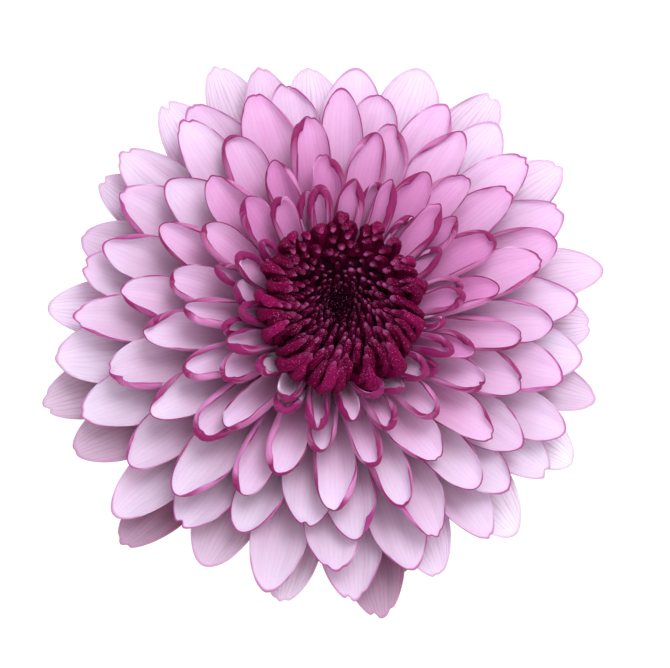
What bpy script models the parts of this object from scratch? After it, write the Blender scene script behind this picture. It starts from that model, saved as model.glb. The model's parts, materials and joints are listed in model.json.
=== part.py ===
"""A single pompon chrysanthemum bloom on its cut stem, standing in a small bud vase.

The vase stands on Z = 0 with its axis on Z. The stem rests on the vase floor, leans on the neck and bends
over at its top, so that the bloom faces up and a little towards +Y. The bloom is modelled in a frame of its
own, with +Z along the bloom's axis: a domed receptacle carries nested whorls of florets. Florets are
numbered from the middle outwards and each is turned by the golden angle from the last, so thirteen in a row
stand clear of each other and make one whorl, joined at their bases by a thin collar.
"""

import math

import bmesh
import bpy
from mathutils import Euler, Matrix, Quaternion, Vector
from mathutils.geometry import interpolate_bezier

MM = 0.001
GAP = 0.35 * MM  # left between pieces that touch
GOLDEN_ANGLE = math.radians(137.5078)

# Vase: its outer wall is three Bezier curves from foot to lip, each given by four points as (radius, height).
FOOT_TO_BELLY = ((21 * MM, 0.0), (27.5 * MM, 10 * MM), (30 * MM, 19 * MM), (30 * MM, 33 * MM))
BELLY_TO_NECK = ((30 * MM, 33 * MM), (30 * MM, 53 * MM), (11.5 * MM, 64 * MM), (11.5 * MM, 78 * MM))
NECK_TO_LIP = ((11.5 * MM, 78 * MM), (11.5 * MM, 82 * MM), (11.5 * MM, 86 * MM), (14.5 * MM, 92 * MM))
NECK_RADIUS, NECK_HEIGHT = BELLY_TO_NECK[-1]
LIP_RADIUS, LIP_HEIGHT = NECK_TO_LIP[-1]
LIP_CROWN = 0.9 * MM  # how far the rounded lip rises above both walls
VASE_WALL = 2.8 * MM
VASE_FLOOR = 4.5 * MM
VASE_STEPS = 36
JOINT_STEP = 5  # the neck is joined on at this one of the shoulder curve's seven steps

# Stem, from its cut end on the vase floor to just under the bloom.
STEM_RADIUS = 2.2 * MM
STEM_TOP_RADIUS = 2.9 * MM
STEM_SIDES = 10
STEM_POINTS = 15
STEM_FOOT_OFFSET = 1.5 * MM  # how far its cut end stands from the vase axis
STEM_LEAN = 0.10  # its slope where it passes the neck
STEM_POINTS_BELOW_NECK = 8
STEM_HANDLE_INSIDE = 25 * MM  # reach of its curve's handles inside the vase
STEM_HANDLE_ABOVE = 22 * MM  # and just above the neck
STEM_HANDLE_TOP = 18 * MM  # and under the bloom

# Bloom frame: where the bloom's own origin is, how far it faces away from straight up, and which way.
BLOOM_CENTRE = Vector((0.0, 0.0, 150 * MM))
BLOOM_TILT = math.radians(18)
BLOOM_TILT_TOWARDS = math.radians(63)

# Receptacle: a dome that carries every floret, above a shallow cup that narrows to the stem.
DOME_RADIUS = 12 * MM
DOME_CENTRE_HEIGHT = -6.5 * MM
RECEPTACLE_BASE = -12.5 * MM
RECEPTACLE_CUP = ((11.4 * MM, -7.4 * MM), (9.6 * MM, -9.1 * MM), (5.4 * MM, -10.4 * MM), (3.2 * MM, -11.2 * MM))
RECEPTACLE_STEPS = 24

# Ray florets: level 0 is the outermost and 1 the innermost.
WHORL_COUNT = 9
FLORETS_PER_WHORL = 13
RAY_COUNT = WHORL_COUNT * FLORETS_PER_WHORL
BASE_POLAR_ANGLE = (math.radians(78), math.radians(26))
BASE_ELEVATION = (math.radians(26), math.radians(68))
TIP_ELEVATION = (math.radians(-12), math.radians(52))
TIP_RADIUS = (41 * MM, 16 * MM)
TIP_HEIGHT = (-2 * MM, 14.5 * MM)
RAY_HALF_WIDTH = (4.0 * MM, 1.7 * MM)
RAY_CUP = (math.radians(26), math.radians(48))
RAY_BASE_SHARE = 0.3  # how wide a floret is at its base, as a share of its full width
AZIMUTH_WOBBLE = math.radians(1.2)
WIDTH_WOBBLE = 0.05
RAY_THICKNESS = 0.34 * MM

# Young florets: two whorls of short, folded florets that hook over the edge of the disc. Each place is given
# for the outer and the inner whorl, as (radius, height).
YOUNG_RISE = math.radians(66)
YOUNG_RISE_REACH = 4 * MM
YOUNG_BULGE = (Vector((14.6 * MM, 11.6 * MM)), Vector((12.2 * MM, 12.6 * MM)))
YOUNG_TIP = (Vector((12.6 * MM, 15.0 * MM)), Vector((10.4 * MM, 15.8 * MM)))
YOUNG_BASE_SHARE = 0.5
YOUNG_HALF_WIDTH = 1.25 * MM
YOUNG_CUP = math.radians(62)
YOUNG_THICKNESS = 0.44 * MM

# Calyx: two whorls of small green bracts under the bloom. Each line of points, as (radius, height) in
# millimetres, is the midline of an outer bract and then of an inner one.
BRACT_MIDLINES = (
    [Vector(place) * MM for place in ((4.6, -12.6), (9.5, -11.6), (13.6, -9.2), (15.6, -5.6))],
    [Vector(place) * MM for place in ((5.4, -11.4), (9.6, -10.6), (13.2, -8.4), (14.6, -4.9))],
)
BRACT_BASE_SHARE = 0.6
BRACT_HALF_WIDTH = 1.9 * MM
BRACT_CUP = math.radians(20)
BRACT_THICKNESS = 0.5 * MM

# A blade, which is a petal or a bract, is a grid of quads. Its tip is a half ellipse.
BLADE_ACROSS = 2
TIP_START = 0.62  # share of the blade's length where the half ellipse begins
BLADE_ROWS = (0.0, 0.22, 0.44)  # shares of the blade's length, below the tip
TIP_ROWS = (0.0, 0.55, 1.0)  # shares of the half ellipse
COLLAR_TOP = 0.07  # share of the blade's length that the collar joins
LEVEL_BLEND_END = 0.35  # beyond this share of its length a blade lies at its own level

# Disc: buds packed in rows above a stalk, each row as (radius, height) in the bloom frame.
DISC_AROUND = 21
DISC_STALK = ((2.1 * MM, 5.3 * MM), (2.3 * MM, 6.6 * MM), (4.0 * MM, 8.6 * MM), (6.6 * MM, 10.8 * MM))
DISC_EDGE = (8.6 * MM, 12.9 * MM)
DISC_BUD_ROWS = (
    (8.3 * MM, 14.5 * MM),
    (7.2 * MM, 15.4 * MM),
    (5.7 * MM, 15.5 * MM),
    (4.2 * MM, 14.9 * MM),
    (2.8 * MM, 14.0 * MM),
    (1.4 * MM, 13.2 * MM),
)
BUD_RISE = 0.7 * MM  # how far each bud stands out of the disc

# Leaves on the stem: name, height of the joint, direction, length and drop of the tip.
LEAVES = (
    ("leaf_low", 99 * MM, math.radians(25), 38 * MM, 9 * MM),
    ("leaf_middle", 107 * MM, math.radians(162), 38 * MM, 10 * MM),
    ("leaf_high", 115 * MM, math.radians(300), 34 * MM, 8 * MM),
    ("leaf_top", 124 * MM, math.radians(77), 26 * MM, 9 * MM),
)
LEAF_THICKNESS = 0.6 * MM
LEAF_HALF_WIDTH = 0.30  # as a share of the leaf's length
PETIOLE_HALF_WIDTH = 0.9 * MM
PETIOLE_SHARE = 0.22  # share of the leaf's length that is bare stalk
LEAF_LOBES = 3  # on each side, below the one at the tip
LOBES_END = 0.8  # share of the blade's length where the lobe at the tip begins
LOBE_DEPTH = 0.34  # how deep the notches cut, as a share of the half width
LOBE_SWEEP = 0.45  # how far the lobes point forward, for each unit sideways
LEAF_FOLD = 0.20  # how far the two halves rise from the midrib, for each unit sideways
LEAF_SPINE = ((0.25, 0.20), (0.72, 0.42), (0.95, 0.42))  # reach and height along it, as shares of its length


def lerp(start, end, share):
    """The value that lies share of the way from start to end."""
    return start + (end - start) * share


def smooth_step(low, high, value):
    """0 below low, 1 above high, and an S-curve between them."""
    share = min(max((value - low) / (high - low), 0.0), 1.0)
    return share * share * (3 - 2 * share)


def heading(angle):
    """The unit vector at this angle in the half-plane of radius and height."""
    return Vector((math.cos(angle), math.sin(angle)))


def bezier(points, share):
    """The point at this share of a cubic Bezier curve."""
    a, b, c, d = points
    rest = 1 - share
    return a * rest**3 + b * (3 * rest**2 * share) + c * (3 * rest * share**2) + d * share**3


def bezier_direction(points, share):
    """The unit tangent at this share of a cubic Bezier curve."""
    a, b, c, d = points
    rest = 1 - share
    return ((b - a) * rest**2 + (c - b) * (2 * rest * share) + (d - c) * share**2).normalized()


# ---------------------------------------------------------------- objects and materials


def clear_scene():
    """Removes every object that the file starts with."""
    for obj in list(bpy.data.objects):
        bpy.data.objects.remove(obj)


def material(name, colour, roughness):
    """A Principled material of one colour."""
    made = bpy.data.materials.new(name)
    made.use_nodes = True
    shader = made.node_tree.nodes["Principled BSDF"]
    shader.inputs["Base Color"].default_value = (*colour, 1.0)
    shader.inputs["Roughness"].default_value = roughness
    shader.inputs["Metallic"].default_value = 0.0
    return made


def new_object(name, data, finish, collection, parent=None):
    """An object in the collection, with its material and its parent."""
    data.materials.append(finish)
    obj = bpy.data.objects.new(name, data)
    collection.objects.link(obj)
    obj.parent = parent
    return obj


def mesh_from(bm, name):
    """A mesh made from bm, with its doubles merged and its normals facing one way."""
    bmesh.ops.remove_doubles(bm, verts=bm.verts, dist=0.001 * MM)
    bmesh.ops.recalc_face_normals(bm, faces=bm.faces)
    mesh = bpy.data.meshes.new(name)
    bm.to_mesh(mesh)
    bm.free()
    return mesh


def solidify(obj, thickness):
    """Gives an open surface its thickness, half on each side."""
    modifier = obj.modifiers.new("thickness", "SOLIDIFY")
    modifier.thickness = thickness
    modifier.offset = 0.0


def lathe(name, outline, steps, finish, collection, parent=None, ring=False):
    """A turned solid. The outline is (radius, height) pairs that run down its outer side, closed up for a ring."""
    mesh = bpy.data.meshes.new(name)
    edges = [(i, i + 1) for i in range(len(outline) - 1)]
    if ring:
        edges.append((len(outline) - 1, 0))
    mesh.from_pydata([(radius, 0.0, height) for radius, height in outline], edges, [])
    obj = new_object(name, mesh, finish, collection, parent)
    screw = obj.modifiers.new("turn", "SCREW")
    screw.steps = steps
    screw.render_steps = steps
    screw.use_merge_vertices = True
    screw.merge_threshold = 0.01 * MM
    return obj


def grid_of(bm, across, along, place):
    """Adds a grid of quads to bm, with place(row, column) giving each vertex its position."""
    made = bmesh.ops.create_grid(bm, x_segments=across, y_segments=along, size=1.0)["verts"]
    for vert in made:
        column = round((vert.co.x + 1) / 2 * across)
        row = round((vert.co.y + 1) / 2 * along)
        vert.co = place(row, column)


# ---------------------------------------------------------------- whorls of blades


def ray_midline(level):
    """Bezier points of a floret's midline, as (radius, height), at a level from 0 outside to 1 inside."""
    polar = lerp(*BASE_POLAR_ANGLE, level)
    base = Vector((0, DOME_CENTRE_HEIGHT)) + Vector((math.sin(polar), math.cos(polar))) * DOME_RADIUS
    inward = max(level, 0.0)
    tip = Vector((lerp(*TIP_RADIUS, inward**2.2), lerp(*TIP_HEIGHT, inward)))
    chord = (tip - base).length
    rise = heading(lerp(*BASE_ELEVATION, level)) * (0.30 * chord)
    run_out = heading(lerp(*TIP_ELEVATION, inward**1.3)) * (0.35 * chord)
    return base, base + rise, tip - run_out, tip


def young_midline(level):
    """Bezier points of a young floret, which rises round the disc and hooks over its edge."""
    polar = lerp(*BASE_POLAR_ANGLE, level)
    base = Vector((0, DOME_CENTRE_HEIGHT)) + Vector((math.sin(polar), math.cos(polar))) * DOME_RADIUS
    inward = (level - 1) * WHORL_COUNT - 0.5  # 0 for the outer young whorl and 1 for the inner
    rise = base + heading(YOUNG_RISE) * YOUNG_RISE_REACH
    return base, rise, lerp(*YOUNG_BULGE, inward), lerp(*YOUNG_TIP, inward)


def bract_midline(level):
    """Bezier points of a bract, which hugs the cup of the receptacle. Level 0 is the outer whorl."""
    return [lerp(outer, inner, level) for outer, inner in zip(*BRACT_MIDLINES)]


class Blade:
    """One petal or bract of a whorl, as a curved surface round the bloom's axis."""

    def __init__(self, midline, azimuth, level, whorl_level, half_width, cup, base_share):
        self.midline = midline
        self.azimuth = azimuth
        self.level = level
        self.whorl_level = whorl_level
        self.half_width = half_width
        self.cup = cup
        self.base_share = base_share

    def width_share(self, along):
        """How wide the blade is below its tip, as a share of its full width."""
        return lerp(self.base_share, 1.0, math.sin(math.pi / 2 * along / TIP_START) ** 1.5)

    def point(self, along, side):
        """The point at a share of the length and at a side from -1 to 1 of the full half width."""
        blend = smooth_step(COLLAR_TOP, LEVEL_BLEND_END, along)
        points = self.midline(lerp(self.whorl_level, self.level, blend))
        centre = bezier(points, along)
        direction = bezier_direction(points, along)
        cup_radius = self.half_width / self.cup
        lift = cup_radius * (1 - math.cos(self.cup * side))
        radius = centre.x - direction.y * lift
        height = centre.y + direction.x * lift
        azimuth = self.azimuth + cup_radius * math.sin(self.cup * side) / radius
        return Vector((radius * math.cos(azimuth), radius * math.sin(azimuth), height))

    def grid_point(self, row, column):
        """The place of a grid vertex: straight rows first, then rows that bend into the half ellipse."""
        across = 2 * column / BLADE_ACROSS - 1
        if row < len(BLADE_ROWS):
            along = COLLAR_TOP + BLADE_ROWS[row]
            return self.point(along, across * self.width_share(along))
        reach = TIP_ROWS[row - len(BLADE_ROWS)]
        side = across * math.sqrt(1 - reach**2 / 2)
        along = lerp(TIP_START, 1.0, reach * math.sqrt(1 - across**2 / 2))
        return self.point(along, side)


def whorl(name, blades, thickness, finish, collection, bloom):
    """One closed piece: blades that share a thin collar round the receptacle."""
    bm = bmesh.new()
    for blade in blades:
        grid_of(bm, BLADE_ACROSS, len(BLADE_ROWS) + len(TIP_ROWS) - 1, blade.grid_point)
    columns = []
    for blade in sorted(blades, key=lambda one: one.azimuth % math.tau):
        foot_share = blade.width_share(COLLAR_TOP)
        columns += [(blade, foot_share * (2 * i / BLADE_ACROSS - 1)) for i in range(BLADE_ACROSS + 1)]

    def collar_point(row, column):
        blade, side = columns[column % len(columns)]
        return blade.point(COLLAR_TOP * row, side)

    grid_of(bm, len(columns), 1, collar_point)
    obj = new_object(name, mesh_from(bm, name), finish, collection, bloom)
    solidify(obj, thickness)
    return obj


def wobble(index, step):
    """A steady sequence of numbers from -1 to 1 that looks irregular, one for each floret."""
    return 2 * ((index * step) % 1.0) - 1


def ray_whorl_blades(whorl_index):
    """The thirteen florets of one ray whorl. Whorl 0 is the innermost."""
    whorl_level = 1 - (whorl_index + 0.5) / WHORL_COUNT
    blades = []
    for i in range(FLORETS_PER_WHORL):
        number = whorl_index * FLORETS_PER_WHORL + i
        level = 1 - (number + 0.5) / RAY_COUNT
        azimuth = number * GOLDEN_ANGLE + AZIMUTH_WOBBLE * wobble(number, 0.7549)
        width = lerp(*RAY_HALF_WIDTH, level**2.2) * (1 + WIDTH_WOBBLE * wobble(number, 0.5698))
        shape = (level, whorl_level, width, lerp(*RAY_CUP, level), RAY_BASE_SHARE)
        blades.append(Blade(ray_midline, azimuth, *shape))
    return blades


def young_whorl_blades(whorl_index):
    """The thirteen hooked florets of one young whorl. Whorl 0 is the outer one."""
    level = 1 + (whorl_index + 0.5) / WHORL_COUNT
    first = -(whorl_index + 1) * FLORETS_PER_WHORL
    shape = (YOUNG_HALF_WIDTH, YOUNG_CUP, YOUNG_BASE_SHARE)
    return [
        Blade(young_midline, (first + i) * GOLDEN_ANGLE, level, level, *shape)
        for i in range(FLORETS_PER_WHORL)
    ]


def bract_whorl_blades(whorl_index):
    """The thirteen bracts of one calyx whorl, half a step round from the next. Whorl 0 is the outer one."""
    turn = math.tau / FLORETS_PER_WHORL
    shape = (whorl_index, whorl_index, BRACT_HALF_WIDTH, BRACT_CUP, BRACT_BASE_SHARE)
    return [Blade(bract_midline, (i + whorl_index / 2) * turn, *shape) for i in range(FLORETS_PER_WHORL)]


# ---------------------------------------------------------------- receptacle and disc


def receptacle(finish, collection, bloom):
    """The solid base that every floret and bract stands on."""
    dome = DOME_RADIUS - RAY_THICKNESS / 2 - GAP
    arc = [math.radians(angle) for angle in range(0, 85, 12)]
    top = [(dome * math.sin(a), DOME_CENTRE_HEIGHT + dome * math.cos(a)) for a in arc]
    foot = [(STEM_TOP_RADIUS, RECEPTACLE_BASE), (0.0, RECEPTACLE_BASE)]
    outline = top + list(RECEPTACLE_CUP) + foot
    return lathe("receptacle", outline, RECEPTACLE_STEPS, finish, collection, bloom)


def disc_florets(finish, collection, bloom):
    """The packed buds in the middle: a knobbly dome with a dimple, on a stalk that stands on the receptacle."""
    rows = DISC_STALK + (DISC_EDGE,) + DISC_BUD_ROWS
    edge_row = len(DISC_STALK)
    half_step = math.pi / DISC_AROUND
    bm = bmesh.new()

    def place(row, column):
        radius, height = rows[row]
        azimuth = math.tau * column / DISC_AROUND + half_step * max(row - edge_row, 0)
        return Vector((radius * math.cos(azimuth), radius * math.sin(azimuth), height))

    grid_of(bm, DISC_AROUND, len(rows) - 1, place)
    bmesh.ops.remove_doubles(bm, verts=bm.verts, dist=0.001 * MM)
    bmesh.ops.holes_fill(bm, edges=[edge for edge in bm.edges if edge.is_boundary], sides=0)
    bmesh.ops.recalc_face_normals(bm, faces=bm.faces)
    lowest = DISC_EDGE[1] - 0.01 * MM
    tops = [face for face in bm.faces if len(face.verts) == 4 and min(v.co.z for v in face.verts) > lowest]
    bmesh.ops.poke(bm, faces=tops, offset=BUD_RISE)
    return new_object("disc_florets", mesh_from(bm, "disc_florets"), finish, collection, bloom)


# ---------------------------------------------------------------- vase, stem and leaves


def vase(finish, collection):
    """A plain turned bud vase, open at the lip: its body, and the neck that is joined on above the shoulder."""

    def wall(inset, lowest, counts):
        """Points up the wall, this far inside its outer surface: those of the body, then those of the neck."""
        line = []
        for curve, count in zip((FOOT_TO_BELLY, BELLY_TO_NECK, NECK_TO_LIP), counts):
            corners = [Vector((radius - inset, 0, max(height, lowest))) for radius, height in curve]
            line += [(p.x, p.z) for p in interpolate_bezier(*corners, count + 1)][1 if line else 0 :]
        joint = counts[0] + JOINT_STEP
        return line[: joint + 1], line[joint:]

    body_outside, neck_outside = wall(0.0, 0.0, (5, 7, 4))
    body_inside, neck_inside = wall(VASE_WALL, VASE_FLOOR, (4, 7, 3))
    body = [(0.0, VASE_FLOOR)] + body_inside + body_outside[::-1] + [(0.0, 0.0)]
    crown = [(LIP_RADIUS - VASE_WALL / 2, LIP_HEIGHT + LIP_CROWN)]
    neck = neck_inside + crown + neck_outside[::-1]
    for end in (0, -1):
        radius, height = neck[end]
        neck[end] = radius, height + GAP
    lathe("vase", body, VASE_STEPS, finish, collection)
    lathe("vase_neck", neck, VASE_STEPS, finish, collection, ring=True)


def bloom_matrix():
    """The bloom frame in the world."""
    axis = Vector((-math.sin(BLOOM_TILT_TOWARDS), math.cos(BLOOM_TILT_TOWARDS), 0))
    return Matrix.Translation(BLOOM_CENTRE) @ Quaternion(axis, BLOOM_TILT).to_matrix().to_4x4()


def stem_line():
    """Points along the stem's centreline, from the vase floor, past the neck that it leans on, to the bloom."""
    frame = bloom_matrix()
    bloom_axis = frame.to_3x3() @ Vector((0, 0, 1))
    back = -Vector((math.cos(BLOOM_TILT_TOWARDS), math.sin(BLOOM_TILT_TOWARDS), 0))
    top = frame @ Vector((0, 0, RECEPTACLE_BASE - GAP))
    foot = -back * STEM_FOOT_OFFSET + Vector((0, 0, VASE_FLOOR + GAP))
    against_neck = NECK_RADIUS - VASE_WALL - STEM_RADIUS - GAP
    neck = back * against_neck + Vector((0, 0, NECK_HEIGHT))
    leaning = (back * STEM_LEAN + Vector((0, 0, 1))).normalized()
    upright = foot + Vector((0, 0, STEM_HANDLE_INSIDE))
    lower = interpolate_bezier(foot, upright, neck - leaning * STEM_HANDLE_INSIDE, neck, STEM_POINTS_BELOW_NECK)
    handles = neck + leaning * STEM_HANDLE_ABOVE, top - bloom_axis * STEM_HANDLE_TOP
    upper = interpolate_bezier(neck, *handles, top, STEM_POINTS - STEM_POINTS_BELOW_NECK + 1)
    return lower + upper[1:]


def stem(finish, collection):
    """The cut stem, a little stouter just under the bloom."""
    curve = bpy.data.curves.new("stem", "CURVE")
    curve.dimensions = "3D"
    curve.bevel_depth = STEM_RADIUS
    curve.bevel_resolution = STEM_SIDES // 2 - 2
    curve.use_fill_caps = True
    line = stem_line()
    spline = curve.splines.new("POLY")
    spline.points.add(len(line) - 1)
    for i, (point, place) in enumerate(zip(spline.points, line)):
        point.co = (*place, 1.0)
        swell = smooth_step(0.8, 1.0, i / (len(line) - 1))
        point.radius = lerp(1.0, STEM_TOP_RADIUS / STEM_RADIUS, swell)
    return new_object("stem", curve, finish, collection)


def leaf_half_width(share, length):
    """Half the leaf's width at a share of its length: narrow on the stalk, then an oval with lobes."""
    if share <= PETIOLE_SHARE:
        return PETIOLE_HALF_WIDTH
    blade = (share - PETIOLE_SHARE) / (1 - PETIOLE_SHARE)
    oval = LEAF_HALF_WIDTH * length * math.sin(math.pi * blade**0.8) ** 0.7
    lobes_passed = (LEAF_LOBES + 0.5) * min(blade / LOBES_END, 1.0)
    notch = LOBE_DEPTH * (0.5 + 0.5 * math.cos(math.tau * lobes_passed))
    return max(oval * (1 - notch), PETIOLE_HALF_WIDTH * (1 - blade))


def leaf(name, height, direction, length, droop, finish, collection):
    """A lobed leaf with its petiole, growing from the stem at this height."""
    start = Vector((STEM_RADIUS + LEAF_THICKNESS / 2 + GAP, 0))
    rise, crest, end = (Vector(place) * length for place in LEAF_SPINE)
    spine = (start, start + rise, crest, end - Vector((0, droop)))
    across, rows = 4, 4 * LEAF_LOBES + 3

    def place(row, column):
        share = PETIOLE_SHARE * row if row <= 1 else lerp(PETIOLE_SHARE, 1.0, (row - 1) / (rows - 1))
        side = (2 * column / across - 1) * leaf_half_width(share, length)
        reach = share + LOBE_SWEEP * abs(side) / length * smooth_step(PETIOLE_SHARE, 0.5, share)
        centre = bezier(spine, min(reach, 1.0))
        return Vector((centre.x, side, centre.y + LEAF_FOLD * abs(side)))

    bm = bmesh.new()
    grid_of(bm, across, rows, place)
    obj = new_object(name, mesh_from(bm, name), finish, collection)
    obj.location = min(stem_line(), key=lambda point: abs(point.z - height))
    obj.rotation_euler = Euler((0, 0, direction))
    solidify(obj, LEAF_THICKNESS)
    return obj


# ---------------------------------------------------------------- the whole


def build():
    """Makes every piece of the chrysanthemum and its vase."""
    clear_scene()
    collection = bpy.data.collections.new("chrysanthemum_in_vase")
    bpy.context.scene.collection.children.link(collection)
    bloom = bpy.data.objects.new("bloom_frame", None)
    collection.objects.link(bloom)
    bloom.matrix_world = bloom_matrix()

    glaze = material("glaze", (0.72, 0.74, 0.70), 0.3)
    green = material("stem_green", (0.14, 0.26, 0.06), 0.55)
    leaf_green = material("leaf_green", (0.07, 0.17, 0.04), 0.55)
    petal = material("petal", (0.82, 0.50, 0.72), 0.5)
    young_petal = material("young_petal", (0.34, 0.01, 0.14), 0.5)
    bud = material("bud", (0.20, 0.0, 0.07), 0.5)

    vase(glaze, collection)
    stem(green, collection)
    for growth in LEAVES:
        leaf(*growth, leaf_green, collection)
    receptacle(green, collection, bloom)
    for i, side in enumerate(("outer", "inner")):
        whorl(f"calyx_bracts_{side}", bract_whorl_blades(i), BRACT_THICKNESS, green, collection, bloom)
    for i in range(WHORL_COUNT):
        name = f"ray_petals_{WHORL_COUNT - i}"
        whorl(name, ray_whorl_blades(i), RAY_THICKNESS, petal, collection, bloom)
    for i, side in enumerate(("outer", "inner")):
        whorl(f"young_florets_{side}", young_whorl_blades(i), YOUNG_THICKNESS, young_petal, collection, bloom)
    disc_florets(bud, collection, bloom)


build()
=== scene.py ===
"""The looks of a pompon chrysanthemum that stands in a small bud vase.

The bloom is modelled in a frame of its own, with +Z along its axis, and its pieces are then turned into
place. Florets are numbered from the middle outwards and each is turned by the golden angle from the last.
Geometry Nodes grow every floret, bract, bud, leaf and the stem from the same few sizes as the solids.
"""

from __future__ import annotations

import json
import logging
import math
from collections.abc import Callable, Sequence
from dataclasses import dataclass
from enum import Enum
from typing import Any

import bmesh
import bpy
import numpy as np
from mathutils import Matrix, Quaternion, Vector
from mathutils.bvhtree import BVHTree
from mathutils.geometry import interpolate_bezier

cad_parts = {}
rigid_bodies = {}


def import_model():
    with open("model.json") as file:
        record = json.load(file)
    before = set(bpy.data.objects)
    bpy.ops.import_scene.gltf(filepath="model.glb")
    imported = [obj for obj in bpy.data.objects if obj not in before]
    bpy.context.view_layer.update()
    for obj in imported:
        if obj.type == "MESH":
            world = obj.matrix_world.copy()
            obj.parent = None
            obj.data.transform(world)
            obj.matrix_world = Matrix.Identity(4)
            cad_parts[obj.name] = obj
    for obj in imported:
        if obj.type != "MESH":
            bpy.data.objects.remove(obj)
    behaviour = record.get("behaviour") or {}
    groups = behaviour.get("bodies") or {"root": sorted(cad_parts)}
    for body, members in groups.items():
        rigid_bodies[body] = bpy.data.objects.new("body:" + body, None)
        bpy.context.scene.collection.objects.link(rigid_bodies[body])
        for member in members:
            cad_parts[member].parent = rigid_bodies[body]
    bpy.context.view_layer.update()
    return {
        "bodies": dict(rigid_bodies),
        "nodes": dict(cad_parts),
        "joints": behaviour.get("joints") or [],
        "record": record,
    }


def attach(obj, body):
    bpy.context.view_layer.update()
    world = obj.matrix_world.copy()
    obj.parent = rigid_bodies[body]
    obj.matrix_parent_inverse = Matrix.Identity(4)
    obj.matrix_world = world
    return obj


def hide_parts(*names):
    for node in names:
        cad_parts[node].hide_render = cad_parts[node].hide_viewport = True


LOG = logging.getLogger("chrysanthemum")
MM = 0.001
BODY = "root"
GOLDEN_ANGLE = math.radians(137.5078)
SUNNY_SIDE = math.radians(63)  # the side that the bloom leans to
WHORL = 13  # petals or bracts in one whorl
SAME_PLACE = 0.002 * MM  # points nearer than this are made one

Socket = bpy.types.NodeSocket
Material = bpy.types.Material
Piece = bpy.types.Object


def tone(code: str) -> tuple[float, ...]:
    """A colour as the shader wants it.

    Args:
        code: red, green and blue as two hex digits each.

    Returns:
        Linear red, green and blue.
    """
    shares = [int(code[i : i + 2], 16) / 255 for i in (0, 2, 4)]
    return tuple(s / 12.92 if s <= 0.04045 else ((s + 0.055) / 1.055) ** 2.4 for s in shares)


def add_object(name: str, data: bpy.types.ID) -> Piece:
    """Adds an object to the scene.

    Args:
        name: its name.
        data: its mesh, curve, camera or light.

    Returns:
        The object, at the origin.
    """
    made = bpy.data.objects.new(name, data)
    bpy.context.scene.collection.objects.link(made)
    return made


def settle(piece: Piece, node: str, slot: str) -> Piece:
    """Notes what a piece stands for.

    Args:
        piece: the piece.
        node: the names of its solids.
        slot: the material slot that it takes.

    Returns:
        The piece.
    """
    piece["stands_for"] = node
    piece["slot"] = slot
    return piece


def turned(name: str, outline: Sequence[Pair], steps: int, material: Material) -> Piece:
    """A turned piece.

    Args:
        name: the piece's name.
        outline: (radius, height) pairs in millimetres, from one pole to the other.
        steps: how many steps go round.
        material: its finish.

    Returns:
        The piece, with smooth faces that point outwards.
    """
    bm = bmesh.new()
    line = [bm.verts.new((radius * MM, 0, height * MM)) for radius, height in outline]
    edges = [bm.edges.new(pair) for pair in zip(line, line[1:])]
    bmesh.ops.spin(bm, geom=line + edges, cent=(0, 0, 0), axis=(0, 0, 1), angle=math.tau, steps=steps)
    bmesh.ops.remove_doubles(bm, verts=bm.verts, dist=0.005 * MM)
    bmesh.ops.recalc_face_normals(bm, faces=bm.faces)
    for face in bm.faces:
        face.smooth = True
    mesh = bpy.data.meshes.new(name)
    bm.to_mesh(mesh)
    bm.free()
    mesh.materials.append(material)
    return add_object(name, mesh)


# ---------------------------------------------------------------- node trees as expressions


def math_method(operation: str, reflected: bool = False) -> Callable[[Wire, Number], Wire]:
    """A method for one of Python's operators on wires.

    Args:
        operation: what its Math node does.
        reflected: whether the other number stands first.

    Returns:
        The method.
    """

    def method(self: Wire, other: Number) -> Wire:
        """Adds the Math node."""
        return self.graph.math(operation, *((other, self) if reflected else (self, other)))

    return method


class Wire:
    """A number that flows through a node tree. Python's operators on it add Math nodes."""

    __add__, __radd__ = math_method("ADD"), math_method("ADD", reflected=True)
    __sub__, __rsub__ = math_method("SUBTRACT"), math_method("SUBTRACT", reflected=True)
    __mul__, __rmul__ = math_method("MULTIPLY"), math_method("MULTIPLY", reflected=True)
    __truediv__, __rtruediv__ = math_method("DIVIDE"), math_method("DIVIDE", reflected=True)
    __pow__ = math_method("POWER")

    def __init__(self, graph: Graph, socket: Socket) -> None:
        """Keeps the socket that the number comes out of."""
        self.graph = graph
        self.socket = socket

    def __neg__(self) -> Wire:
        """Minus self."""
        return self.graph.math("MULTIPLY", self, -1.0)


Number = Wire | float
Pair = tuple[Number, Number]
Link = Wire | Socket | bpy.types.ID | float | tuple | str
Settings = dict[str, Any]
Inputs = dict[int | str, Link]


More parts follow.
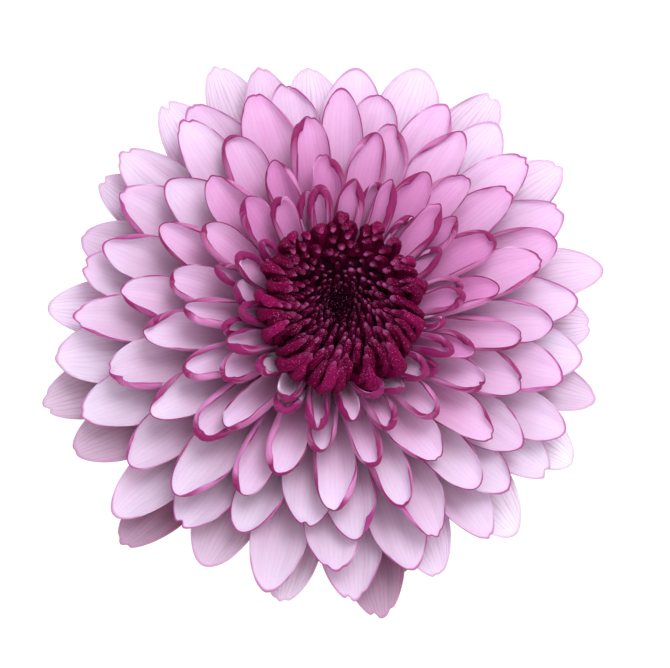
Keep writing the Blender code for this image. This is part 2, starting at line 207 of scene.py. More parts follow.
class Graph:
    """Adds nodes to a tree and joins them."""

    def __init__(self, tree: bpy.types.NodeTree) -> None:
        """Starts on an empty tree."""
        self.tree = tree

    def node(
        self, kind: str, settings: Settings | None = None, inputs: Inputs | None = None
    ) -> bpy.types.Node:
        """Adds any node.

        Args:
            kind: the node's type.
            settings: its properties, set first.
            inputs: a value, a colour's hex code or a link for each socket, by the socket's place,
                identifier or name.

        Returns:
            The new node.
        """
        made = self.tree.nodes.new(kind)
        for key, value in (settings or {}).items():
            setattr(made, key, value)
        for key, value in (inputs or {}).items():
            socket = self._socket(made, key)
            if isinstance(value, Wire):
                value = value.socket
            if isinstance(value, Socket):
                self.tree.links.new(value, socket)
            elif socket.type == "RGBA":
                socket.default_value = (*(tone(value) if isinstance(value, str) else value), 1.0)
            else:
                socket.default_value = value
        return made

    @staticmethod
    def _socket(node: bpy.types.Node, key: int | str) -> Socket:
        """Finds an input of a node.

        Args:
            node: the node.
            key: the socket's place, identifier or name.

        Returns:
            The socket. An identifier goes before a name.
        """
        if isinstance(key, int):
            return node.inputs[key]
        shown = [socket for socket in node.inputs if socket.enabled]
        by_identifier = [socket for socket in shown if socket.identifier == key]
        return (by_identifier or [socket for socket in shown if socket.name == key])[0]

    def number(
        self, kind: str, output: int | str, settings: Settings | None = None, inputs: Inputs | None = None
    ) -> Wire:
        """One output of a new node, as a number."""
        return Wire(self, self.node(kind, settings, inputs).outputs[output])

    def field(self, label: str) -> Wire:
        """The number that the surface carries under this name."""
        raise NotImplementedError

    def fields(self, *labels: str) -> list[Wire]:
        """The numbers that the surface carries under these names."""
        return [self.field(label) for label in labels]

    def math(self, operation: str, *values: Number) -> Wire:
        """The result of one Math node."""
        return self.number("ShaderNodeMath", 0, {"operation": operation}, dict(enumerate(values)))

    def sin(self, value: Number) -> Wire:
        """The sine of an angle in radians."""
        return self.math("SINE", value)

    def cos(self, value: Number) -> Wire:
        """The cosine of an angle in radians."""
        return self.math("COSINE", value)

    def sqrt(self, value: Number) -> Wire:
        """The square root, or 0 for a number just under 0."""
        return self.math("SQRT", self.math("MAXIMUM", value, 0.0))

    def smallest(self, first: Number, second: Number) -> Wire:
        """The smaller of two numbers."""
        return self.math("MINIMUM", first, second)

    def largest(self, first: Number, second: Number) -> Wire:
        """The larger of two numbers."""
        return self.math("MAXIMUM", first, second)

    def size_of(self, value: Number) -> Wire:
        """The number without its sign."""
        return self.math("ABSOLUTE", value)

    def step(self, low: float, high: float, value: Number) -> Wire:
        """0 at low, 1 at high and an S-curve between them. low may be the larger."""
        inputs = {"Value": value, "From Min": low, "From Max": high}
        return self.number("ShaderNodeMapRange", 0, {"interpolation_type": "SMOOTHSTEP"}, inputs)

    def vector(self, x: Number, y: Number, z: Number) -> Socket:
        """A vector from its three numbers."""
        return self.node("ShaderNodeCombineXYZ", inputs={0: x, 1: y, 2: z}).outputs[0]

    def parts(self, vector: Socket) -> list[Wire]:
        """The three numbers of a vector."""
        made = self.node("ShaderNodeSeparateXYZ", inputs={0: vector})
        return [Wire(self, socket) for socket in made.outputs]


def lerp(start: Number, end: Number, share: Number) -> Number:
    """The value that lies share of the way from start to end."""
    return start + (end - start) * share


class GrowthGraph(Graph):
    """A Geometry Nodes tree with named sizes, whose result is kept as a plain mesh."""

    def __init__(self, name: str, sizes: dict[str, float | int]) -> None:
        """Makes the tree and its named inputs.

        Args:
            name: the tree's name.
            sizes: each input's name and the value it starts with.
        """
        tree = bpy.data.node_groups.new(name, "GeometryNodeTree")
        super().__init__(tree)
        for way in ("INPUT", "OUTPUT"):
            tree.interface.new_socket("Geometry", in_out=way, socket_type="NodeSocketGeometry")
        for label, value in sizes.items():
            kind = "NodeSocketInt" if isinstance(value, int) else "NodeSocketFloat"
            tree.interface.new_socket(label, in_out="INPUT", socket_type=kind).default_value = value
        self.entry = tree.nodes.new("NodeGroupInput")

    def size(self, label: str) -> Wire:
        """The tree's input of this name."""
        return Wire(self, self.entry.outputs[label])

    def made(self, kind: str, **inputs: Link) -> Socket:
        """What a Geometry node makes. An underscore in an input's name stands for a space."""
        named = {label.replace("_", " "): value for label, value in inputs.items()}
        return self.node(f"GeometryNode{kind}", inputs=named).outputs[0]

    def field(self, label: str) -> Wire:
        """The number stored on each point under this name."""
        inputs = {"Name": label}
        return self.number("GeometryNodeInputNamedAttribute", "Attribute", {"data_type": "FLOAT"}, inputs)

    def store(self, geometry: Socket, values: dict[str, Number], domain: str = "POINT") -> Socket:
        """Stores numbers on each point or instance.

        Args:
            geometry: what carries them.
            values: the numbers, by name.
            domain: whether points or instances carry them.

        Returns:
            The geometry with its numbers.
        """
        settings = {"data_type": "FLOAT", "domain": domain}
        for label, value in values.items():
            inputs = {"Geometry": geometry, "Name": label, "Value": value}
            geometry = self.node("GeometryNodeStoreNamedAttribute", settings, inputs).outputs[0]
        return geometry

    def random(self, low: float, high: float, number: Number, seed: int) -> Wire:
        """A number from low to high that belongs to one floret."""
        inputs = {"Min": low, "Max": high, "ID": number, "Seed": seed}
        return self.number("FunctionNodeRandomValue", "Value", {"data_type": "FLOAT"}, inputs)

    def wobble(self, number: Number, step: float) -> Wire:
        """The steady sequence of numbers from -1 to 1 that the solids use too."""
        return 2 * self.math("FRACT", number * step) - 1

    def bezier(self, points: list[Pair], share: Number) -> tuple[Pair, Pair]:
        """A cubic Bezier curve in the half-plane of radius and height.

        Args:
            points: its four control points.
            share: how far along it to go.

        Returns:
            The place there, and the unit direction there.
        """
        rest = 1 - share
        weights = rest**3, 3 * rest * rest * share, 3 * rest * share * share, share**3
        slopes = rest * rest, 2 * rest * share, share * share
        place, slope = [], []
        for axis in (0, 1):
            a, b, c, d = (point[axis] for point in points)
            place.append(a * weights[0] + b * weights[1] + c * weights[2] + d * weights[3])
            slope.append((b - a) * slopes[0] + (c - b) * slopes[1] + (d - c) * slopes[2])
        length = self.sqrt(slope[0] * slope[0] + slope[1] * slope[1])
        return tuple(place), (slope[0] / length, slope[1] / length)

    def rotated(self, x: Number, y: Number, angle: Number) -> tuple[Wire, Wire]:
        """Where a point of the plane comes to lie when it is turned about the origin."""
        cos, sin = self.cos(angle), self.sin(angle)
        return x * cos - y * sin, x * sin + y * cos

    def copies(self, shape: Socket) -> Socket:
        """One copy of a shape for each floret, in a tree with the inputs First floret and Florets.

        Args:
            shape: what is copied.

        Returns:
            The copies as real geometry. Each carries its floret's number.
        """
        points = self.made("Points", Count=self.size("Florets"))
        placed = self.made("InstanceOnPoints", Points=points, Instance=shape)
        number = Wire(self, self.made("InputIndex")) + self.size("First floret")
        return self.made("RealizeInstances", Geometry=self.store(placed, {"number": number}, "INSTANCE"))

    def two_sided_grid(self, columns: int, rows: int) -> Socket:
        """Two grids, back to back.

        Args:
            columns: steps across.
            rows: steps up.

        Returns:
            The grids, which carry across, up and face.
        """
        grid = self.made("MeshGrid", Size_X=2.0, Size_Y=1.0, Vertices_X=columns + 1, Vertices_Y=rows + 1)
        x, y, _ = self.parts(self.made("InputPosition"))
        closer_to_the_rims = x * (1.3 - 0.3 * x * x)
        grid = self.store(grid, {"across": closer_to_the_rims, "up": y + 0.5})
        back = self.made("FlipFaces", Mesh=grid)
        both = self.node("GeometryNodeJoinGeometry")
        for side, face in ((grid, 0.0), (back, 1.0)):
            self.tree.links.new(self.store(side, {"face": face}), both.inputs[0])
        return both.outputs[0]

    def pushed(self, geometry: Socket, distance: Wire) -> Socket:
        """Moves each point along its normal.

        Args:
            geometry: what is moved.
            distance: how far.

        Returns:
            The moved geometry.
        """
        inputs = {0: self.made("InputNormal"), "Scale": distance}
        offset = self.node("ShaderNodeVectorMath", {"operation": "SCALE"}, inputs).outputs[0]
        return self.made("SetPosition", Geometry=geometry, Offset=offset)

    def thickened(self, sheet: Socket, place: Socket, thickness: Wire) -> Socket:
        """Puts a two-sided sheet in place, parts its sides and closes it where its thickness ends."""
        parted = self.pushed(self.made("SetPosition", Geometry=sheet, Position=place), thickness / 2)
        return self.made("MergeByDistance", Geometry=parted, Distance=SAME_PLACE)

    def finish(self, geometry: Socket, material: Material) -> None:
        """Ends the tree: smooth shading, real geometry and its material."""
        real = self.made("RealizeInstances", Geometry=self.made("SetShadeSmooth", Geometry=geometry))
        self.node("NodeGroupOutput", inputs={0: self.made("SetMaterial", Geometry=real, Material=material)})

    def grow(self, name: str, sizes: dict[str, float | int], route: bpy.types.Curve | None = None) -> Piece:
        """Runs the tree and keeps what it makes as a plain mesh.

        Args:
            name: the piece's name.
            sizes: values for the tree's inputs, by name.
            route: the curve that the tree starts from, if it needs one.

        Returns:
            The object, at the origin.
        """
        holder = add_object(f"{name}_growth", route or bpy.data.meshes.new(f"{name}_growth"))
        modifier = holder.modifiers.new("growth", "NODES")
        modifier.node_group = self.tree
        for socket in self.tree.interface.items_tree:
            if socket.in_out == "INPUT" and socket.name in sizes:
                modifier[socket.identifier] = sizes[socket.name]
        depsgraph = bpy.context.evaluated_depsgraph_get()
        mesh = bpy.data.meshes.new_from_object(holder.evaluated_get(depsgraph), depsgraph=depsgraph)
        mesh.name = name
        holder.modifiers.remove(modifier)
        bpy.data.objects.remove(holder)
        return add_object(name, mesh)


class FinishGraph(Graph):
    """The node tree of one material, built round a Principled shader."""

    def __init__(self, name: str, constants: dict[str, Link]) -> None:
        """Makes the material.

        Args:
            name: the material's name.
            constants: the shader's sockets that are the same all over.
        """
        self.material = bpy.data.materials.new(name)
        self.material.use_nodes = True
        super().__init__(self.material.node_tree)
        self.tree.nodes.clear()
        self.shader = self.node("ShaderNodeBsdfPrincipled", inputs=constants)
        self.output = self.node("ShaderNodeOutputMaterial", inputs={"Surface": self.shader.outputs[0]})

    def feed(self, label: str, value: Wire | Socket) -> None:
        """Joins a varying value to one of the shader's inputs."""
        socket = value.socket if isinstance(value, Wire) else value
        self.tree.links.new(socket, self.shader.inputs[label])

    def field(self, label: str) -> Wire:
        """The number stored on the mesh under this name."""
        return self.number("ShaderNodeAttribute", "Fac", {"attribute_name": label})

    def place(self) -> Socket:
        """Object coordinates."""
        return self.node("ShaderNodeTexCoord").outputs["Object"]

    def noise(self, scale: float, detail: float = 2.0, at: Socket | None = None) -> Wire:
        """Soft noise from 0 to 1, by default on Object coordinates."""
        inputs = {"Vector": at or self.place(), "Scale": scale, "Detail": detail}
        return self.number("ShaderNodeTexNoise", "Fac", inputs=inputs)

    def blend(self, first: Link, second: Link, share: Number) -> Socket:
        """A colour between two colours.

        Args:
            first: a socket or a hex code.
            second: a socket or a hex code.
            share: 0 for the first and 1 for the second.

        Returns:
            The colour.
        """
        inputs = {"Factor_Float": share, "A_Color": first, "B_Color": second}
        made = self.node("ShaderNodeMix", {"data_type": "RGBA", "clamp_factor": True}, inputs)
        return next(socket for socket in made.outputs if socket.enabled)

    def raise_by(self, height: Wire, distance: float, strength: float) -> None:
        """Bumps the surface by a height from 0 to 1, over a distance in metres."""
        inputs = {"Height": height, "Distance": distance, "Strength": strength}
        self.feed("Normal", self.node("ShaderNodeBump", inputs=inputs).outputs[0])


# ---------------------------------------------------------------- finishes


@dataclass(frozen=True)
class PetalFinish:
    """A ray floret: pale on its face, magenta on its back and along its rim."""

    white: str = "F2F0FC"
    pale: str = "ECE0F7"
    pink: str = "DC92CE"
    # painted shade at each petal's foot, and the colour of the veins
    shade: str = "A04E78"
    back: str = "820A58"
    back_pale: str = "C47CB2"
    rim: str = "7C1655"
    outer_rim: str = "A03284"
    # greyed mauve: partly a random tone, mostly painted shade on the side away from the key lamp
    greyed_and_painted_shade: str = "8C6882"
    veins: float = 13.0

    def material(self) -> Material:
        """Builds the material. The florets carry across, along, rim, face, age, chance and sunny.

        Returns:
            The material.
        """
        constants = {
            "Roughness": 0.5,
            "Subsurface Weight": 0.3,
            "Subsurface Radius": (1.0, 0.3, 0.6),
            "Subsurface Scale": 0.001,
            "Sheen Weight": 0.06,
            "Sheen Roughness": 0.5,
            "Specular IOR Level": 0.22,
        }
        graph = FinishGraph("petal", constants)
        step = graph.step
        along, rim, face, age = graph.fields("along", "rim", "face", "age")
        colour = graph.blend(self._reverse(graph), self._front(graph), step(0.35, 0.65, face))
        # the dark rim, broken along the sides and whole at the tip
        patchy = step(0.35, 0.62, graph.noise(260.0, 1.0))
        edge = step(0.925, 0.98, rim) * (0.25 + 0.75 * step(0.05, 0.45, age))
        edge = edge * graph.largest(patchy, step(0.85, 0.97, along)) * step(0.2, 0.5, along)
        colour = graph.blend(colour, graph.blend(self.rim, self.outer_rim, step(0.75, 0.35, age)), edge)
        line = self._vein(graph)
        shown = (0.05 + 0.2 * step(0.3, 0.0, age)) * line * (1 - edge)
        graph.feed("Base Color", graph.blend(colour, self.shade, shown))
        graph.raise_by(1 - line, 0.04 * MM, 0.5)
        return graph.material

    def _front(self, graph: FinishGraph) -> Socket:
        """The face: a blush on white, with painted shade on the outer petals and at the foot and painted
        light on the lit side.

        Args:
            graph: the material's tree.

        Returns:
            The colour.
        """
        step = graph.step
        across, along, age, chance, sunny = graph.fields("across", "along", "age", "chance", "sunny")
        # pinker down the middle and next to the disc; the extra pink on the side that the bloom leans to,
        # towards the key lamp, is painted light, and the pink thins towards the tip away from that side
        blush = 0.3 * step(0.0, 0.7, age) * (1 - 0.4 * graph.size_of(across))
        blush = blush + 0.3 * (chance - 0.5) + 0.3 * (graph.noise(180.0) - 0.5)
        blush = blush + 0.22 + 0.2 * sunny + (0.36 + 0.2 * sunny) * step(0.5, 0.95, age)
        blush = blush * (0.35 + 0.65 * step(0.02, 0.38, age))
        blush = blush * (1.1 - (0.32 - 0.24 * sunny) * step(0.45, 0.95, along))
        # some of the outermost are white at random; the greyed mauve is partly random and mostly painted
        # shade, heaviest away from the key lamp and towards the foot
        white = step(0.2, 0.06, age) * step(0.6, 0.78, chance)
        greyed_and_shade_share = (0.62 - 0.46 * sunny) * step(0.36, 0.04, age) * step(0.0, 0.35, chance)
        greyed_and_shade_share = graph.largest(greyed_and_shade_share, (0.19 - 0.2 * sunny) * step(0.8, 0.4, age))
        greyed_and_shade_share = greyed_and_shade_share * (1.8 - 1.1 * along) * (1 - 0.7 * white)
        # painted shade: every petal darker towards its foot, where the petals over it shade it, and more on
        # the side away from the key lamp
        depth = step(1.0, 0.3, along) * (0.46 + 0.2 * age) * (0.84 - 0.14 * sunny)
        colour = graph.blend(self.pale, self.pink, blush)
        for veil, share in ((self.white, 0.7 * white), (self.greyed_and_painted_shade, greyed_and_shade_share), (self.shade, depth)):
            colour = graph.blend(colour, veil, share)
        return colour

    def _reverse(self, graph: FinishGraph) -> Socket:
        """The back: magenta towards its tip and down one side, in streaks.

        Args:
            graph: the material's tree.

        Returns:
            The colour.
        """
        step = graph.step
        across, along, rim, age, chance = graph.fields("across", "along", "rim", "age", "chance")
        streak = graph.noise(1.0, 2.0, graph.vector(across * 7.0, along * 1.6, chance * 40.0))
        # the inmost are dark on both sides
        inmost = step(0.86, 0.99, age)
        one_side = step(-0.35, 0.25, across * (2 * chance - 1))
        deep = step(0.1, 0.75, age) * (0.15 + 0.6 * step(0.5, 0.93, along)) * (0.7 + 0.5 * chance)
        deep = deep + step(0.5, 1.0, rim) * step(0.5, 0.95, along) * 0.6
        deep = deep * graph.largest(lerp(0.25 + 0.75 * one_side, 1.0, inmost), step(0.82, 0.96, along))
        gap = graph.largest(streak - 0.46, 0.0) * step(0.98, 0.85, along)
        deep = deep + 0.5 * inmost - (2.6 + inmost) * gap
        return graph.blend(self.back_pale, self.back, deep * (1 - 0.25 * step(0.75, 0.35, age)))

    def _vein(self, graph: FinishGraph) -> Wire:
        """Fine lines that run the length of the petal.

        Args:
            graph: the material's tree.

        Returns:
            1 on a line and 0 between them.
        """
        across, along = graph.fields("across", "along")
        drift = graph.noise(3.0, 1.0, graph.vector(across * 2, along * 1.5, 0.0)) * 0.2
        return graph.step(0.55, 1.0, graph.cos((across + drift) * (math.pi * self.veins)))


@dataclass(frozen=True)
class YoungFinish:
    """A young floret or bud: velvety crimson, with a paler, dusty tip that is partly a painted highlight,
    and painted shade in the dimple and at the fingers' feet.
    """

    name: str
    # painted shade in the dimple
    dark: str = "18000A"
    # painted shade at the fingers' feet
    base: str = "480222"
    body: str = "58012B"
    edge: str = "7A0B46"
    tip: str = "C060A0"
    dust: str = "D880B8"
    gloss: str = "F070C0"

    def material(self) -> Material:
        """Builds the material. The florets carry along, chance and share.

        Returns:
            The material.
        """
        constants = {
            "Roughness": 0.5,
            "Subsurface Weight": 0.35,
            "Subsurface Radius": (1.0, 0.12, 0.5),
            "Subsurface Scale": 0.0009,
            "Specular IOR Level": 0.07,
            "Specular Tint": self.gloss,
        }
        graph = FinishGraph(self.name, constants)
        step = graph.step
        along, chance, share = graph.fields("along", "chance", "share")
        grain = graph.noise(900.0, 3.0)
        # painted shade: florets deep in the dimple turn to the dark colour and lose their pale tips
        shown = step(0.08, 0.42, share)
        # painted shade in the gaps: each finger darker towards its foot, by a random amount
        body = graph.blend(self.base, self.body, step(0.1, 0.7, along) * (0.65 + 0.35 * chance))
        edge = step(0.84, 1.0, share) * step(0.4, 0.9, along) * (0.25 + 0.75 * chance)
        body = graph.blend(self.dark, graph.blend(body, self.edge, edge), shown)
        # the pale tip: partly the floret's own colour and partly a painted highlight
        pale_tip_and_highlight = step(0.95, 1.0, along) * (0.2 + 0.6 * grain) * (0.15 + 0.85 * chance) * shown
        dust = step(0.67, 0.77, graph.noise(6400.0, 0.0)) * step(0.6, 0.95, along)
        graph.feed("Base Color", graph.blend(graph.blend(body, self.tip, pale_tip_and_highlight), self.dust, 0.45 * dust))
        graph.raise_by(grain, 0.05 * MM, 0.5)
        return graph.material


@dataclass(frozen=True)
class GreenFinish:
    """A living green surface with fine lengthwise ribs."""

    name: str
    dark: str
    light: str
    ribs: float

    def material(self) -> Material:
        """Builds the material. The pieces carry across and along.

        Returns:
            The material.
        """
        sheen = {"Sheen Weight": 0.1, "Sheen Roughness": 0.5}
        graph = FinishGraph(self.name, {"Roughness": 0.55, "Specular IOR Level": 0.35, **sheen})
        across, along = graph.fields("across", "along")
        rib = graph.step(-0.2, 1.0, graph.cos(across * (math.pi * self.ribs)))
        share = 0.35 * graph.noise(160.0, 3.0) + 0.35 * rib + 0.3 * graph.step(0.0, 1.0, along)
        graph.feed("Base Color", graph.blend(self.dark, self.light, share))
        graph.raise_by(rib + 0.4 * graph.noise(1400.0, 2.0), 0.12 * MM, 0.6)
        return graph.material


@dataclass(frozen=True)
class ReceptacleFinish:
    """The plain green of the receptacle."""

    dark: str = "5E7440"
    light: str = "93A56C"

    def material(self) -> Material:
        """Builds the material, on Object coordinates.

        Returns:
            The material.
        """
        graph = FinishGraph("receptacle_green", {"Roughness": 0.6})
        cloud = graph.noise(300.0, 3.0)
        graph.feed("Base Color", graph.blend(self.dark, self.light, cloud))
        graph.raise_by(cloud, 0.1 * MM, 0.5)
        return graph.material


@dataclass(frozen=True)
class LeafFinish:
    """A matte leaf, dark above and grey-green below, with paler veins."""

    above: str = "47632F"
    above_light: str = "6B8A45"
    below: str = "8A9C74"
    vein: str = "93A868"

    def material(self) -> Material:
        """Builds the material. The leaves carry across, vein and face.

        Returns:
            The material.
        """
        constants = {
            "Roughness": 0.6,
            "Specular IOR Level": 0.35,
            "Subsurface Weight": 0.15,
            "Subsurface Radius": (0.5, 1.0, 0.2),
            "Subsurface Scale": 0.001,
        }
        graph = FinishGraph("leaf", constants)
        across, vein, face = graph.fields("across", "vein", "face")
        cloud, fine = graph.noise(220.0, 4.0), graph.noise(1500.0, 3.0)
        top = graph.blend(self.above, self.above_light, 0.2 + 0.9 * (cloud - 0.3))
        body = graph.blend(self.below, top, graph.step(0.35, 0.65, face))
        lines = graph.largest(graph.step(0.09, 0.02, vein), graph.step(0.07, 0.02, graph.size_of(across)))
        graph.feed("Base Color", graph.blend(body, self.vein, 0.65 * lines))
        graph.raise_by(0.6 * fine + 0.4 * cloud + 0.6 * (1 - lines), 0.25 * MM, 0.6)
        return graph.material


@dataclass(frozen=True)
class GlazeFinish:
    """Satin-glazed stoneware: the glaze thins to brown at the lip and stops above a bare clay foot."""

    glaze: str = "D2D9CF"
    deep: str = "B7C3B9"
    clay: str = "B79A7C"
    speck: str = "7A5A3C"
    foot_height: float = 4.0 * MM
    lip_height: float = 92.0 * MM
    foot_radius: float = 17.0 * MM  # further in, only the underside is bare

    def material(self) -> Material:
        """Builds the material, on Object coordinates.

        Returns:
            The material.
        """
        graph = FinishGraph("glazed_stoneware", {"Specular IOR Level": 0.5})
        step = graph.step
        x, y, height = graph.parts(graph.place())
        uneven, pool, grit = graph.noise(70.0, 2.0), graph.noise(28.0, 3.0), graph.noise(1800.0, 3.0)
        specks = step(0.73, 0.79, graph.noise(1150.0, 0.0)) * (0.3 + 0.7 * pool)
        lip = step(self.lip_height - 1.6 * MM, self.lip_height + 0.6 * MM, height)
        glaze = graph.blend(self.glaze, self.deep, step(0.35, 0.7, pool))
        glaze = graph.blend(glaze, self.speck, specks)
        glaze = graph.blend(glaze, self.speck, lip * (0.35 + 0.4 * uneven))
        # the glaze ends in an uneven line above the foot
        line = self.foot_height + (uneven - 0.5) * (1.6 * MM)
        reach = graph.sqrt(x * x + y * y) + step(3 * MM, 2 * MM, height) * (20 * MM)
        outside = step(self.foot_radius, self.foot_radius + 1 * MM, reach)
        bare = step(0.25 * MM, -0.25 * MM, height - line) * outside
        clay = graph.blend(self.clay, self.speck, 0.35 * grit)
        graph.feed("Base Color", graph.blend(glaze, clay, bare))
        graph.feed("Roughness", 0.24 + 0.08 * pool + 0.5 * bare)
        graph.feed("Coat Weight", 0.35 * (1 - bare))
        graph.raise_by(0.25 * pool + bare * grit * 0.6 + 0.15 * graph.noise(260.0), 0.25 * MM, 0.5)
        return graph.material


@dataclass(frozen=True)
class FloorFinish:
    """The floor, nearly white to look at, which still takes the object's shadow."""

    grey: tuple[float, float, float] = (0.86, 0.86, 0.86)
    glow: float = 1.15
    glow_share: float = 0.75

    def material(self) -> Material:
        """Builds the material.

        Returns:
            The material.
        """
        graph = FinishGraph("pale_floor", {"Base Color": self.grey, "Roughness": 0.9})
        rays = graph.node("ShaderNodeLightPath").outputs
        seen = graph.largest(*(Wire(graph, rays[f"Is {kind} Ray"]) for kind in ("Camera", "Glossy")))
        glow = graph.node("ShaderNodeEmission", inputs={"Color": (1.0, 1.0, 1.0), "Strength": self.glow})
        inputs = {0: seen * self.glow_share, 1: graph.shader.outputs[0], 2: glow.outputs[0]}
        mixed = graph.node("ShaderNodeMixShader", inputs=inputs)
        graph.tree.links.new(mixed.outputs[0], graph.output.inputs["Surface"])
        return graph.material


# ---------------------------------------------------------------- the bloom


@dataclass
class BladeForm:
    """How one petal or bract is bent. Angles are in radians and lengths in metres."""

    half_width: Number
    base_share: Number
    cup_base: Number
    cup_tip: Number
    curl: Number  # angle that the rim rolls through
    curl_share: Number  # share of the half width that rolls
    favour: Number  # -1 to 1: which side rolls more
    twist: Number
    sway: Number
    notch: Number
    wave: Number
    notch_at: Number = 0.0
    ribs: Number = 0.0


@dataclass
class Blades:
    """Petals or bracts that stand round the bloom's axis. A subclass gives their midline and their form."""

    thickness: float
    columns: int
    rows: int
    tip_start: float = 0.7  # share of the length where the rounded tip begins
    tip_rows: float = 0.45  # share of the rows that the tip takes
    point: float = 0.3  # how far the tip narrows towards a point
    notch_width: float = 0.42 * MM

    def level(self, graph: GrowthGraph, number: Number) -> Number:
        """Where a floret stands, from 0 outside to 1 inside."""
        raise NotImplementedError

    def azimuth(self, graph: GrowthGraph, number: Number) -> Number:
        """The direction a floret points in."""
        return number * GOLDEN_ANGLE

    def midline(self, graph: GrowthGraph, level: Number, number: Number) -> list[Pair]:
        """The four Bezier points of a floret's midline, as (radius, height)."""
        raise NotImplementedError

    def form(self, graph: GrowthGraph, level: Number, number: Number) -> BladeForm:
        """How a floret is bent."""
        raise NotImplementedError

    def tree(self, name: str, material: Material) -> GrowthGraph:
        """The tree that grows one whorl.

        Args:
            name: the tree's name.
            material: the florets' finish.

        Returns:
            The finished tree, with inputs First floret, Florets and Thickness.
        """
        graph = GrowthGraph(name, {"First floret": 0, "Florets": 1, "Thickness": self.thickness})
        sheet = graph.copies(graph.two_sided_grid(self.columns, self.rows))
        number, across, up = graph.fields("number", "across", "up")
        below = graph.smallest(up / (1 - self.tip_rows), 1.0)
        beyond = graph.largest(up - (1 - self.tip_rows), 0.0) / self.tip_rows
        beyond = beyond * (1.3 - 0.3 * beyond * beyond)
        rim = graph.sqrt(across * across + beyond * beyond - across * across * beyond * beyond)
        level = self.level(graph, number)
        place, along = self._place(graph, (across, below, beyond, rim), level, number)
        values = {
            "along": along,
            "rim": rim,
            "age": level,
            "chance": graph.random(0.0, 1.0, number, 90),
            "sunny": graph.cos(self.azimuth(graph, number) - SUNNY_SIDE),
        }
        thickness = graph.size("Thickness") * graph.sqrt(1 - rim**6) * graph.step(0.0, 0.04, below)
        graph.finish(graph.thickened(graph.store(sheet, values), place, thickness), material)
        return graph

    def _place(
        self, graph: GrowthGraph, spot: tuple[Wire, Wire, Wire, Wire], level: Number, number: Wire
    ) -> tuple[Socket, Wire]:
        """Works out a point of the middle surface.

        Args:
            graph: the tree.
            spot: -1 to 1 from one rim to the other, 0 to 1 up to where the tip begins, 0 to 1 from there
                to the tip, and 0 on the midline to 1 all along the rim.
            level: where the floret stands.
            number: the floret's number.

        Returns:
            The place in the bloom frame, and the share of the floret's length.
        """
        across, below, beyond, rim = spot
        form = self.form(graph, level, number)
        step, sin, cos = graph.step, graph.sin, graph.cos
        # the outline, laid flat: a square of rows and columns eased into a rounded tip
        fullness = form.base_share + (1 - form.base_share) * sin(math.pi / 2 * below) ** 1.5
        tip_share = beyond * graph.sqrt(1 - across * across / 2)
        flat = across * fullness * graph.sqrt(1 - beyond * beyond / 2)
        flat = flat * (1 - self.point * tip_share * tip_share)

        # the rim rolls inwards, one side more than the other
        roll = form.curl * (1 + form.favour * across) * (0.25 + 0.75 * step(0.3, 1.0, below))
        roll = roll * (1 + 0.3 * beyond)
        roll = roll * (1 + 0.4 * sin(below * 5 + beyond * 3 + number * 1.7 + across * 2))
        into = graph.largest(rim - (1 - form.curl_share), 0.0) / form.curl_share
        roll_radius = form.curl_share / roll
        kept = (graph.smallest(rim, 1 - form.curl_share) + roll_radius * sin(roll * into)) / (rim + 0.0001)
        rise = form.half_width * fullness * roll_radius * (1 - cos(roll * into))

        # two notches in the tip
        flat = flat * kept * form.half_width
        along = self.tip_start * below + (1 - self.tip_start) * tip_share * kept
        for offset, share in ((form.notch_at, 1.0), (-1.7 * form.notch_at, 0.6)):
            bite = graph.math("EXPONENT", -(((flat - offset) / self.notch_width) ** 2))
            along = along - form.notch * share * bite * beyond**4

        # the cup across the blade, with its ripples, ribs and twist
        bend = form.half_width / lerp(form.cup_base, form.cup_tip, step(0.2, 0.75, along))
        side = (bend - rise) * sin(flat / bend)
        lift = bend - (bend - rise) * cos(flat / bend)
        ripple = sin(along * 11.0 + number * 2.4 + across * 1.5)
        lift = lift + form.wave * ripple * rim * rim * step(0.3, 0.8, along)
        lift = lift + form.ribs * cos(across * (3 * math.pi)) * (1 - rim * rim) * step(0.1, 0.5, along)
        side, lift = graph.rotated(side, lift, form.twist * step(0.15, 1.0, along))

        # onto the midline, and round the bloom's axis
        (radius, height), (outward, upward) = graph.bezier(self.midline(graph, level, number), along)
        side = side + form.sway * along * along
        x, y = graph.rotated(radius - upward * lift, side, self.azimuth(graph, number))
        return graph.vector(x, y, height + outward * lift), along


@dataclass(frozen=True)
class Dome:
    """The receptacle's dome, which every floret stands on."""

    radius: float = 12 * MM
    centre_height: float = -6.5 * MM
    outer_angle: float = math.radians(78)
    inner_angle: float = math.radians(26)

    def foot(self, graph: GrowthGraph, level: Number) -> Pair:
        """Where a floret of this level stands, as (radius, height)."""
        angle = lerp(self.outer_angle, self.inner_angle, level)
        return self.radius * graph.sin(angle), self.centre_height + self.radius * graph.cos(angle)


